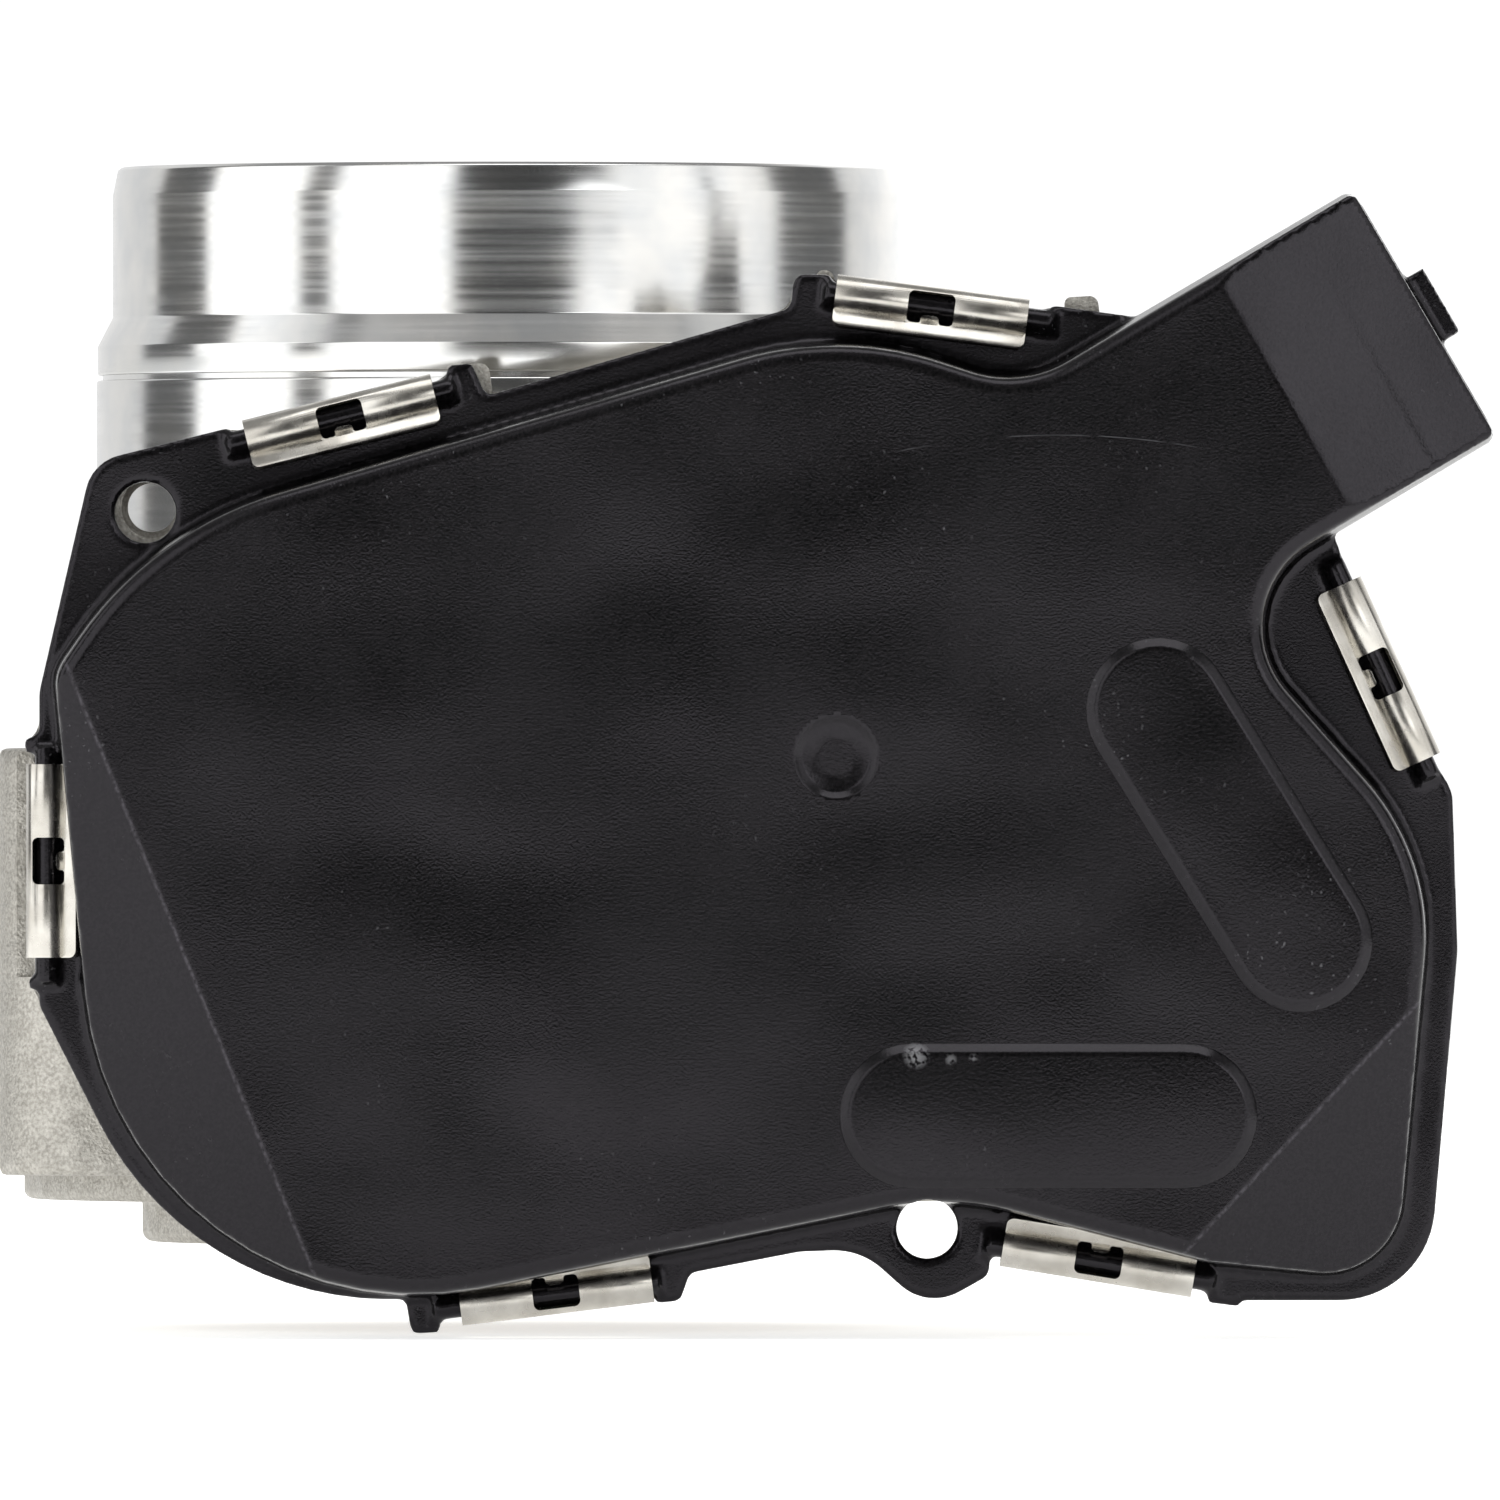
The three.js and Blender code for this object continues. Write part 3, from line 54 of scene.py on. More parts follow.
# Housing throat and inlet spigot. Aluminium, turned on a lathe from the same casting as the rest
# of the housing; the intake hose clamps onto the spigot.
BORE_R = 34
INLET_R = 37
INLET_Z = (64, 78)  # where the bore widens to the inlet
BARREL_R = 41.75
SPIGOT_R = 40.15
SPIGOT_FOOT_Z = 85.2
RIM_Z = 100.2
BAND_TOP_Z = 82.3
GROOVE_Z = 78.9
GROOVE_WIDTH = 0.5
GROOVE_DEPTH = 0.6
LIP_R = BORE_R + 3.2
LIP_DEPTH = 7.1
PILOT_R = 49
PILOT_DEPTH = 2.8
SHAFT_Z = 38
SHAFT_HOLE_R = 5.3
BEARING_SEAT_R = 7.3
LATHE_SIDES = 240
FACING = Matrix(((1, 0, 0, 0), (0, 0, 1, 0), (0, 1, 0, 0), (0, 0, 0, 1)))


def rounded(corners, steps=14):
    """Corners (first, second, radius) as a loop of points."""
    points = []
    for i, (x, z, r) in enumerate(corners):
        corner = Vector((x, z))
        if r == 0:
            points.append(corner)
            continue
        back = (Vector(corners[i - 1][:2]) - corner).normalized()
        ahead = (Vector(corners[(i + 1) % len(corners)][:2]) - corner).normalized()
        half = back.angle(ahead) / 2
        centre = corner + (back + ahead).normalized() * (r / sin(half))
        start = corner + back * (r / tan(half)) - centre
        end = corner + ahead * (r / tan(half)) - centre
        turn = atan2(start.x * end.y - start.y * end.x, start.dot(end))
        first = atan2(start.y, start.x)
        for k in range(steps + 1):
            angle = first + turn * k / steps
            points.append(centre + Vector((cos(angle), sin(angle))) * r)
    return points


def skin(rings, closed=False):
    """Rings of points, each with as many, as a closed mesh: a torus, or a tube with its ends capped."""
    bm = bmesh.new()
    loops = [[bm.verts.new(point) for point in ring] for ring in rings]
    pairs = list(zip(loops, loops[1:]))
    if closed:
        pairs.append((loops[-1], loops[0]))
    else:
        bm.faces.new(loops[0])
        bm.faces.new(loops[-1])
    for one, two in pairs:
        for k in range(len(one)):
            bm.faces.new((one[k - 1], one[k], two[k], two[k - 1]))
    bmesh.ops.recalc_face_normals(bm, faces=bm.faces)
    return bm


def made(name, bm):
    """A mesh drawn in millimetres as an object in metres."""
    bm.transform(Matrix.Scale(MM, 4))
    mesh = bpy.data.meshes.new(name)
    bm.to_mesh(mesh)
    bm.free()
    obj = bpy.data.objects.new(name, mesh)
    bpy.context.scene.collection.objects.link(obj)
    return obj


def prism(loop, low, high, place=FACING):
    """A flat loop as a slab between two depths: in the gear plane, unless it has a place of its own."""
    rings = [[place @ Vector((p[0], p[1], depth)) for p in loop] for depth in (low, high)]
    return made("prism", skin(rings))


def circle(x, z, r, sides=64):
    return [(x + r * cos(2 * pi * k / sides), z + r * sin(2 * pi * k / sides)) for k in range(sides)]


def rectangle(x0, x1, z0, z1):
    return [(x0, z0), (x1, z0), (x1, z1), (x0, z1)]


def bake(obj):
    """Gives an object the mesh that its modifiers make of it."""
    graph = bpy.context.evaluated_depsgraph_get()
    mesh = bpy.data.meshes.new_from_object(obj.evaluated_get(graph))
    obj.modifiers.clear()
    obj.data = mesh


def combine(obj, tools, operation):
    """Joins or cuts an object with tools, which are then gone."""
    for tool in tools:
        modifier = obj.modifiers.new("combine", "BOOLEAN")
        modifier.operation = operation
        modifier.solver = "MANIFOLD"
        modifier.object = tool
    bake(obj)
    for tool in tools:
        bpy.data.objects.remove(tool)
    return obj


def smooth(obj, angle):
    """Smooth shading, apart from edges sharper than the angle."""
    obj.data.polygons.foreach_set("use_smooth", [True] * len(obj.data.polygons))
    obj.data.set_sharp_from_angle(angle=radians(angle))


def coat(obj, material):
    """Gives an object one material all over."""
    obj.data.materials.clear()
    obj.data.materials.append(material)


def linear(code):
    """An sRGB hex colour as linear light."""
    parts = [int(code[i : i + 2], 16) / 255 for i in (1, 3, 5)]
    return [c / 12.92 if c <= 0.04045 else ((c + 0.055) / 1.055) ** 2.4 for c in parts] + [1]


def new_material(name, colour, metallic, roughness):
    """A material with one Principled shader, and that shader."""
    material = bpy.data.materials.new(name)
    material.use_nodes = True
    shader = material.node_tree.nodes["Principled BSDF"]
    shader.inputs["Base Color"].default_value = linear(colour)
    shader.inputs["Metallic"].default_value = metallic
    shader.inputs["Roughness"].default_value = roughness
    return material, shader


def add(material, kind, settings, **inputs):
    """Adds a node and fills its inputs with values or with other nodes' outputs."""
    node = material.node_tree.nodes.new(kind)
    for key, value in settings.items():
        setattr(node, key, value)
    for key, value in inputs.items():
        socket = node.inputs[int(key[1:])] if key[1:].isdigit() else node.inputs[key.replace("_", " ")]
        if isinstance(value, bpy.types.NodeSocket):
            material.node_tree.links.new(value, socket)
        else:
            socket.default_value = value
    return node


def per_metre(size_mm):
    """Noise scale whose features are about a size in millimetres."""
    return 1 / (size_mm * MM)


def place_in(material, stretch=(1, 1, 1)):
    """Object coordinates, squeezed by a factor along each axis."""
    where = add(material, "ShaderNodeTexCoord", {})
    mapping = add(material, "ShaderNodeMapping", {}, Vector=where.outputs["Object"], Scale=stretch)
    return mapping.outputs["Vector"]


def vary(material, shader, socket, where, size_mm, low, high, detail=2):
    """A shader value that wanders between two numbers."""
    grain = add(material, "ShaderNodeTexNoise", {}, Vector=where, Scale=per_metre(size_mm), Detail=detail)
    ramp = add(
        material, "ShaderNodeMapRange", {}, Value=grain.outputs[0],
        From_Min=0.3, From_Max=0.7, To_Min=low, To_Max=high,
    )
    material.node_tree.links.new(ramp.outputs[0], shader.inputs[socket])


def bumps(material, shader, layers):
    """Layers of (coordinates, size in mm, height in mm, detail) as the shader's bump."""
    normal = None
    for where, size_mm, height_mm, detail in layers:
        scale = per_metre(size_mm)
        grain = add(material, "ShaderNodeTexNoise", {}, Vector=where, Scale=scale, Detail=detail)
        bump = add(material, "ShaderNodeBump", {}, Height=grain.outputs[0], Distance=height_mm * MM)
        if normal:
            material.node_tree.links.new(normal, bump.inputs["Normal"])
        normal = bump.outputs[0]
    material.node_tree.links.new(normal, shader.inputs["Normal"])


def mottle(material, shader, where, size_mm, colours, detail=3):
    """A base colour that wanders between two."""
    grain = add(material, "ShaderNodeTexNoise", {}, Vector=where, Scale=per_metre(size_mm), Detail=detail)
    spread = add(material, "ShaderNodeMapRange", {}, Value=grain.outputs[0], From_Min=0.35, From_Max=0.65)
    mix = add(
        material, "ShaderNodeMix", {"data_type": "RGBA"},
        _0=spread.outputs[0], _6=linear(colours[0]), _7=linear(colours[1]),
    )
    material.node_tree.links.new(mix.outputs[2], shader.inputs["Base Color"])


# A tumbled die casting: dull warm grey, with a fine sandy grain over a soft, broad unevenness. The
# grain is drawn as coarse as it has to be to show
cast_aluminium, shader = new_material("aluminium_die_cast_tumbled", "#b9b6b0", 1, 0.5)
plain = place_in(cast_aluminium)
vary(cast_aluminium, shader, "Roughness", plain, 2, 0.42, 0.62)
mottle(cast_aluminium, shader, plain, 0.35, ("#9d9a93", "#bebbb4"), 3)
bumps(cast_aluminium, shader, [(plain, 0.28, 0.07, 2), (plain, 3, 0.22, 2)])

# Turned aluminium: bright, with fine tool lines round it that stretch every reflection. The lines
# are drawn as far apart as they have to be to show
turned_aluminium, shader = new_material("aluminium_turned", "#d9d8d5", 1, 0.2)
tool_lines = place_in(turned_aluminium, (0.02, 0.02, 1))
plain = place_in(turned_aluminium)
vary(turned_aluminium, shader, "Roughness", tool_lines, 0.6, 0.12, 0.2)
mottle(turned_aluminium, shader, plain, 6, ("#cfd0d0", "#dcdbd8"))
bumps(turned_aluminium, shader, [(tool_lines, 0.22, 0.0003, 2), (plain, 0.7, 0.0004, 2)])

profile = rounded([
    (BORE_R, -LIP_DEPTH, 0.4), (LIP_R, -LIP_DEPTH, 1.1), (LIP_R, -PILOT_DEPTH, 0.6),
    (PILOT_R, -PILOT_DEPTH, 0.9), (PILOT_R, 0.3, 0), (BARREL_R, 0.3, 0), (BARREL_R, GROOVE_Z, 0.25),
    (BARREL_R - GROOVE_DEPTH, GROOVE_Z, 0), (BARREL_R - GROOVE_DEPTH, GROOVE_Z + GROOVE_WIDTH, 0),
    (BARREL_R - 0.1, GROOVE_Z + GROOVE_WIDTH, 0.25), (BARREL_R - 0.1, BAND_TOP_Z, 0.3),
    (SPIGOT_R, SPIGOT_FOOT_Z, 0.4), (SPIGOT_R, RIM_Z - 2.8, 0.4), (SPIGOT_R - 0.5, RIM_Z - 0.3, 0.3),
    (SPIGOT_R - 0.9, RIM_Z, 0.3), (INLET_R + 1.4, RIM_Z, 0.4), (INLET_R, RIM_Z - 1.4, 0.4),
    (INLET_R, INLET_Z[1], 0), (BORE_R, INLET_Z[0], 0),
], 4)
rings = []
for k in range(LATHE_SIDES):
    angle = 2 * pi * k / LATHE_SIDES
    rings.append([Vector((p.x * cos(angle), p.x * sin(angle), p.y)) for p in profile])
barrel = made("turned_barrel", skin(rings, closed=True))
combine(barrel, [
    prism(circle(0, SHAFT_Z, SHAFT_HOLE_R), -48, 48),
    prism(circle(0, SHAFT_Z, BEARING_SEAT_R), -48, -36),
    prism(circle(0, SHAFT_Z, BEARING_SEAT_R), 36, 48),
], "DIFFERENCE")
coat(barrel, turned_aluminium)
barrel.data.materials.append(cast_aluminium)
for face in barrel.data.polygons:
    if face.center.z < 0:  # the pilot and the lip below the flange are left as cast
        face.material_index = 1
smooth(barrel, 35)
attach(barrel, "housing")
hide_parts("throttle_housing")

# Housing casting: manifold flange with four bolt columns, the tray for the gears and the pot for
# the motor. Pressure die-cast aluminium, tumbled, with its joint face and bolt seats machined flat.
JOINT_Y = -58
BACK_Y = -46
FLOOR_Y = -50
GEAR_X, GEAR_Z = 31.980, 41.305
MOTOR_X, MOTOR_Z = 62.074, 29.993
FLANGE_HALF = 50.75
FLANGE_THICKNESS = 12
CORNERS = ((-1, 1), (1, 1), (1, -1), (-1, -1))
COLUMN_AT = 41
COLUMN_R = 9.75
COLUMN_Z = 42.2
WEB_HALF = 4
BOLT_HOLE_R = 3.3
NECK_HALF = 17.5
FAR_BOSS_R = 11
MOTOR_POT_R = 17.6
TRAY_WALL = 4
SEAL_GROOVE = (0.9, 3)  # from the tray's outline
# The straight sides that the clips hook onto: both ends of each, (x, z)
BARS = {
    "upper_left": ((-27.6, 73.2), (-6.3, 78.5)),
    "top": ((31.5, 88), (53.1, 85.2)),
    "right": ((82, 60.5), (91.2, 40.2)),
    "lower_right": ((68.5, -11.2), (47.1, -7.7)),
    "bottom": ((14.2, -11.4), (-6.9, -14)),
    "left": ((-46.7, 19.6), (-46.7, 41.8)),
}


def ends(bar):
    return [(x, z, 0) for x, z in BARS[bar]]


JOINT_OUTLINE = [
    (-46.3, 47.7, 4), (-41.1, 70.3, 4.4), (-27.7, 73.65, 0), *ends("upper_left"),
    (-6.1, 79.8, 0.5), (-3.8, 80, 0.6), (-2.4, 76.8, 0.8), (27.5, 85.4, 1), (27.9, 88.8, 1.2),
    (31.5, 88.7, 0.3), *ends("top"), (53.2, 85.7, 0.3), (70.7, 83.3, 6), (81.3, 62.2, 0.5),
    (81.7, 60.9, 0), *ends("right"), (92.2, 38.6, 0), (92.6, 37.5, 0.6), (93.1, 22.3, 12),
    (90.1, -12.1, 9.5), (71.7, -12.1, 0), (71.5, -12.65, 0), (68.6, -12.3, 0),
    *ends("lower_right"), (47.1, -9.6, 1.4), (41, -13, 5), (34.4, -7.1, 7), (28.5, -7.3, 7),
    (17.65, -9.4, 0.4), (16.7, -12.1, 0.8), (14.3, -12.4, 0.4), *ends("bottom"),
    (-6.9, -15.2, 0.4), (-9.7, -15.4, 0.8), (-10.3, -12, 0), (-31.6, -12, 32), (-46.3, 16.9, 0),
    (-46.3, 18.4, 0), (-47.3, 18.6, 0.2), (-47.3, 19.6, 0), *ends("left"), (-47.7, 41.8, 0),
    (-47.7, 43, 0.3), (-46.3, 43.6, 0),
]
DOME_TOP = [(-45, 49.7, 5), (-35.2, 64, 36), (32.5, 83.65, 33.5)]
DOME_REST = [
    (69.3, 56.2, 9), (91, 31.7, 23.5), (87.1, -10.3, 8), (68.25, -8.5, 10), (43, -2, 28),
    (-38.5, -18.3, 33),
]
MOUTH = [(82.8, 97.2, 1.2), (97.1, 72.75, 1.2)]
DOME_OUTLINE = [*DOME_TOP, (50.1, 77.95, 11), *MOUTH, *DOME_REST]
TRAY_OUTLINE = [*DOME_TOP, (64, 73.4, 8), *DOME_REST]
LOCATING_HOLES = [(-35.87, 65.34), (40.95, -4.98)]


def inset(corners, distance):
    """A clockwise outline with every side moved inwards, and its corner radii with them."""
    count = len(corners)
    sides = []
    for i in range(count):
        here, there = Vector(corners[i][:2]), Vector(corners[(i + 1) % count][:2])
        along = (there - here).normalized()
        sides.append((along, here + Vector((along.y, -along.x)) * distance))
    moved = []
    for i, corner in enumerate(corners):
        (one, start), (two, end) = sides[i - 1], sides[i]
        turn = one.x * two.y - one.y * two.x
        if abs(turn) < 1e-6:
            at = end
        else:
            gap = end - start
            at = start + one * ((gap.x * two.y - gap.y * two.x) / turn)
        r = corner[2]
        if r:
            r = max(r - distance, 0.2) if turn < 0 else r + distance
        moved.append((at.x, at.y, r))
    return moved


def side_frame(x, z, outward, y=0):
    """A frame in the gear plane: X outwards, Y towards the back, Z along the side."""
    out = Vector((outward[0], 0, outward[1])).normalized()
    ahead = Vector((0, 1, 0))
    along = out.cross(ahead)
    turned = Matrix((out, ahead, along)).transposed().to_4x4()
    return Matrix.Translation((x, y, z)) @ turned


def bar_frame(bar, y=0):
    """The frame of a clip's bar, at its middle."""
    (ax, az), (bx, bz) = BARS[bar]
    return side_frame((ax + bx) / 2, (az + bz) / 2, (az - bz, bx - ax), y)


def bar_length(bar):
    return (Vector(BARS[bar][1]) - Vector(BARS[bar][0])).length


def loft(sections):
    """Loops in the gear plane at rising depths as one closed shape."""
    return made("loft", skin([[FACING @ Vector((p[0], p[1], y)) for p in loop] for loop, y in sections]))


def clip_pockets(y0, y1):
    """Tools that clear the room of the clips between two depths."""
    return [
        prism(rectangle(-4.8, 3, y0, y1), -bar_length(bar) / 2, bar_length(bar) / 2, bar_frame(bar))
        for bar in BARS
    ]


def fuse(obj, voxel, passes):
    """Melts overlapping closed shapes into one skin, with its edges and inner corners rounded."""
    remesh = obj.modifiers.new("voxel", "REMESH")
    remesh.mode = "VOXEL"
    remesh.voxel_size = voxel * MM
    relax = obj.modifiers.new("relax", "SMOOTH")
    relax.factor = 0.5
    relax.iterations = passes
    bake(obj)


def join(name, parts):
    """Several objects as one mesh object."""
    bm = bmesh.new()
    for part in parts:
        bm.from_mesh(part.data)
        bpy.data.objects.remove(part)
    mesh = bpy.data.meshes.new(name)
    bm.to_mesh(mesh)
    bm.free()
    obj = bpy.data.objects.new(name, mesh)
    bpy.context.scene.collection.objects.link(obj)
    return obj


square = [(FLANGE_HALF * sx, FLANGE_HALF * sy, COLUMN_R) for sx, sy in CORNERS]
UPRIGHT = Matrix.Identity(4)
solids = [
    prism(rounded(JOINT_OUTLINE), JOINT_Y - 2, JOINT_Y + 3),
    prism(rounded(TRAY_OUTLINE), JOINT_Y - 2, BACK_Y),
    prism(rounded(square), 0, FLANGE_THICKNESS, UPRIGHT),
    prism(circle(0, 0, BARREL_R - 0.3, 128), 0, 70, UPRIGHT),
    prism(rectangle(-NECK_HALF, NECK_HALF, 6, 72), BACK_Y - 1, -38),
    prism(circle(0, SHAFT_Z, NECK_HALF), BACK_Y - 1, -38),
    prism(circle(0, SHAFT_Z, FAR_BOSS_R), 38, 52),
    prism(circle(MOTOR_X, MOTOR_Z, MOTOR_POT_R), BACK_Y - 1, 1.1),
    prism(rectangle(35, MOTOR_X, MOTOR_Z - 11, MOTOR_Z + 9), BACK_Y - 1, -6),
]
for sx, sy in CORNERS:
    solids.append(prism(circle(COLUMN_AT * sx, COLUMN_AT * sy, COLUMN_R), 0, COLUMN_Z, UPRIGHT))
    diagonal = Matrix.Rotation(atan2(sy, sx), 4, "Z")
    solids.append(prism(rectangle(36, 58, -WEB_HALF, WEB_HALF), 0, COLUMN_Z - 4, diagonal))
casting = join("housing_casting", solids)
fuse(casting, 0.7, 7)
# Cast lugs that stand out from the joint flange behind the cover's edge: (left, right, foot, top)
LUGS = [(-4.5, -1.7, 76.5, 80.1), (30.1, 32.2, 85, 89.3), (54.5, 58.2, 83, 86.7)]
bosses = [
    *[
        prism(
            rounded([(left, foot, 0), (left, top - 0.2, 0.6), (right - 0.5, top, 0.9), (right, foot, 0)]),
            JOINT_Y, JOINT_Y + 3,
        )
        for left, right, foot, top in LUGS
    ],
    prism(circle(0, SHAFT_Z, 9.7), FLOOR_Y, -41),
    prism(circle(GEAR_X, GEAR_Z, 6), -53, -43),
]
combine(casting, [
    prism(rectangle(-80, 130, -40, 130), JOINT_Y - 10, JOINT_Y),
    prism(rectangle(-80, 80, -80, 80), -20, 0, UPRIGHT),
    prism(circle(0, 0, BARREL_R - 0.75, 128), -1, 110, UPRIGHT),
    prism(rounded(inset(TRAY_OUTLINE, TRAY_WALL)), JOINT_Y - 1, FLOOR_Y),
    prism(circle(0, SHAFT_Z, 14.8), FLOOR_Y - 1, -42.5),
    prism(circle(MOTOR_X, MOTOR_Z, 14.4), FLOOR_Y - 1, -2.1),
], "DIFFERENCE")
combine(casting, bosses, "UNION")
groove_outside, groove_inside = [rounded(inset(TRAY_OUTLINE, distance)) for distance in SEAL_GROOVE]
seal_groove = prism(groove_outside, JOINT_Y - 1, JOINT_Y + 1.3)
combine(seal_groove, [prism(groove_inside, JOINT_Y - 2, JOINT_Y + 2)], "DIFFERENCE")
combine(casting, [
    seal_groove,
    prism(circle(0, SHAFT_Z, BEARING_SEAT_R), -54, -30),
    prism(circle(0, SHAFT_Z, BEARING_SEAT_R), 30, 60),
    prism(circle(GEAR_X, GEAR_Z, 2.8), -54, -45),
    *[prism(circle(x + 0.6, z + 0.5, 2.4), JOINT_Y - 1, BACK_Y + 1) for x, z in LOCATING_HOLES],
    *[
        loft([(circle(x + 0.6, z + 0.5, r), y) for r, y in ((3.1, JOINT_Y - 0.1), (2.3, JOINT_Y + 0.7))])
        for x, z in LOCATING_HOLES
    ],
    *[prism(circle(COLUMN_AT * sx, COLUMN_AT * sy, BOLT_HOLE_R), -1, 50, UPRIGHT) for sx, sy in CORNERS],
    *clip_pockets(JOINT_Y + 3, BACK_Y - 0.8),
], "DIFFERENCE")
coat(casting, cast_aluminium)
smooth(casting, 35)
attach(casting, "housing")
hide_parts("throttle_housing")

# Bearings, seals and end cap of the throttle shaft. Steel needle bearings and moulded rubber seals,
# pressed into the housing on both sides of the bore, and a pressed steel cap over the far bearing.
EDGE_BREAK = 0.12


def dress(names, material):
    """Gives pieces that keep their own shape a material, broken edges and smooth shading."""
    for name in names:
        node = nodes[name]
        coat(node, material)
        bevel = node.modifiers.new("edges", "BEVEL")
        bevel.width = EDGE_BREAK * MM
        bevel.segments = 2
        bevel.limit_method = "ANGLE"
        bevel.angle_limit = radians(40)
        smooth(node, 30)


# Ground steel: mid grey and half shiny, with faint fine lines along the shaft
steel, shader = new_material("steel_ground", "#a9aaac", 1, 0.3)
lines = place_in(steel, (1, 0.05, 1))
vary(steel, shader, "Roughness", lines, 0.5, 0.22, 0.4)
bumps(steel, shader, [(lines, 0.15, 0.002, 2)])
# Moulded rubber: matt charcoal that hardly reflects
rubber, shader = new_material("rubber_moulded", "#1b1b1c", 0, 0.75)
plain = place_in(rubber)
vary(rubber, shader, "Roughness", plain, 2, 0.65, 0.85)
bumps(rubber, shader, [(plain, 0.2, 0.01, 2)])
dress(["drive_side_bearing", "far_side_bearing", "bearing_end_cap"], steel)
dress(["drive_side_shaft_seal", "far_side_shaft_seal"], rubber)

# Manifold seal. A moulded rubber ring that lies in a groove of the pilot. It is drawn pressed flush,
# as it is when the body is bolted to the manifold.
dress(["manifold_seal"], rubber)

# Throttle shaft and plate. A ground steel shaft with a slot through it, and a stamped brass plate
# in the slot that two steel screws hold from the shaft's flat.

# Stamped brass: warm yellow and softly uneven
brass, shader = new_material("brass_stamped", "#c9a14a", 1, 0.3)
plain = place_in(brass)
vary(brass, shader, "Roughness", plain, 1, 0.25, 0.45)
bumps(brass, shader, [(plain, 0.3, 0.003, 2)])
dress(["throttle_shaft", "plate_screw_1", "plate_screw_2"], steel)
dress(["throttle_plate"], brass)

# Return spring and closed stop. A steel wire coil round the shaft on a moulded nylon sleeve, and the
# steel screw that the sector gear comes to rest against when the throttle shuts.

# Natural nylon: cream, softly shiny and slightly uneven in colour
nylon, shader = new_material("nylon_natural_moulded", "#d9d6c8", 0, 0.5)
plain = place_in(nylon)
mottle(nylon, shader, plain, 5, ("#d2cfbf", "#e0ddd0"))
bumps(nylon, shader, [(plain, 0.3, 0.006, 2)])
dress(["return_spring", "closed_stop_screw"], steel)
dress(["spring_sleeve"], nylon)

# Gears. A sector of glass-filled nylon moulded onto the shaft's end with the sensor's ferrite magnet
# in its hub, and a natural nylon gear of two sizes that turns on a steel pin.

# Glass-filled nylon: dark grey, clouded by its fibres
dark_nylon, shader = new_material("nylon_glass_filled_moulded", "#3a3b3d", 0, 0.5)
plain = place_in(dark_nylon)
mottle(dark_nylon, shader, plain, 2, ("#343537", "#434446"))
bumps(dark_nylon, shader, [(plain, 0.25, 0.012, 2)])
# Pressed ferrite: matt dark grey with a visible grain
magnet, shader = new_material("ferrite_pressed", "#4b4a4c", 0, 0.6)
plain = place_in(magnet)
mottle(magnet, shader, plain, 0.6, ("#434244", "#535254"))
bumps(magnet, shader, [(plain, 0.2, 0.01, 2)])
dress(["sector_gear"], dark_nylon)
dress(["sensor_magnet"], magnet)
dress(["intermediate_gear"], nylon)
dress(["intermediate_gear_pin"], steel)

# Motor. A drawn steel can with two ferrite magnets, closed by an end plate that two screws hold in
# the housing's pot; the wound armature turns in brass bushes and carries a brass pinion.

# Enamelled copper wire: orange brown, ribbed along the armature by its 0.5 mm wires
copper, shader = new_material("copper_enamelled_wire", "#a85a2c", 1, 0.3)
wires = place_in(copper, (1, 0.02, 1))
vary(copper, shader, "Roughness", wires, 0.5, 0.2, 0.4)
bumps(copper, shader, [(wires, 0.5, 0.1, 1)])
# Pressed carbon: matt charcoal with a powdery grain
carbon, shader = new_material("carbon_pressed", "#333333", 0, 0.6)
plain = place_in(carbon)
mottle(carbon, shader, plain, 0.3, ("#2c2c2c", "#3b3b3b"))
bumps(carbon, shader, [(plain, 0.15, 0.01, 2)])
dress(["motor_can", "motor_end_plate", "motor_screw_1", "motor_screw_2"], steel)
dress(["motor_magnet_1", "motor_magnet_2"], magnet)
dress(["armature_shaft", "armature_core"], steel)
dress(["armature_windings", "commutator"], copper)
dress(["motor_front_bush", "motor_rear_bush", "motor_pinion"], brass)
dress(["brush_1", "brush_2"], carbon)
dress(["motor_terminal_1", "motor_terminal_2"], brass)

# Position sensor and terminals, fixed inside the cover. A small glass-epoxy board with one moulded
# chip over the shaft's magnet, and six stamped brass terminals that end in the connector.

# Solder-masked glass epoxy: glossy green, slightly uneven
board, shader = new_material("glass_epoxy_solder_masked", "#1f5a3a", 0, 0.35)
mottle(board, shader, place_in(board, (1, 1, 6)), 1, ("#1b5235", "#246543"))
bumps(board, shader, [(place_in(board), 0.4, 0.01, 1)])
dress(["sensor_board"], board)
dress(["sensor_chip"], carbon)
dress([f"connector_pin_{number}" for number in range(1, 7)], brass)

# Cover seal. A moulded rubber ring that follows the tray's outline. It lies in the groove of the
# tray's joint face, under the cover's edge.
dress(["cover_seal"], rubber)

# Gear cover with its connector shell. Glass-filled PBT, injection moulded against a fine eroded
# texture; it sits on the tray's seal and six spring clips hold it down.
COVER_BACK_Y = -58.3
COVER_FLANGE_Y = -61
DOME_Y = -76
BEAD_R = 1.15
PADS = [((63.5, 45.9), (77.4, 23.4)), ((39.4, 6.2), (66.1, 6.2))]
# Slopes of the front: (start of fold, end of fold, how far it reaches, how far it falls back)
SLOPES = [
    ((-43.2, 50), (-18.8, -10.05), 13.5, 6),
    ((65.8, -7.5), (88.9, 17.2), 14, 6),
    ((82.9, 64.5), (69.5, 88), 16.4, 3.5),
]
MOUTH_FRAME = side_frame(89.95, 84.975, (24.45, 14.3))
PIN_PITCH = 3


def slope_tool(start, end, reach, drop, inwards=0):
    """What lies in front of a slope that falls back beyond a line on the dome."""
    along = Vector(end) - Vector(start)
    place = side_frame(*start, (along.y, -along.x), DOME_Y + inwards)
    fall = drop / reach
    section = [(-8, -8 * fall), (-8, -20), (60, -20), (60, 60 * fall)]
    return prism(section, -40, along.length + 40, place)


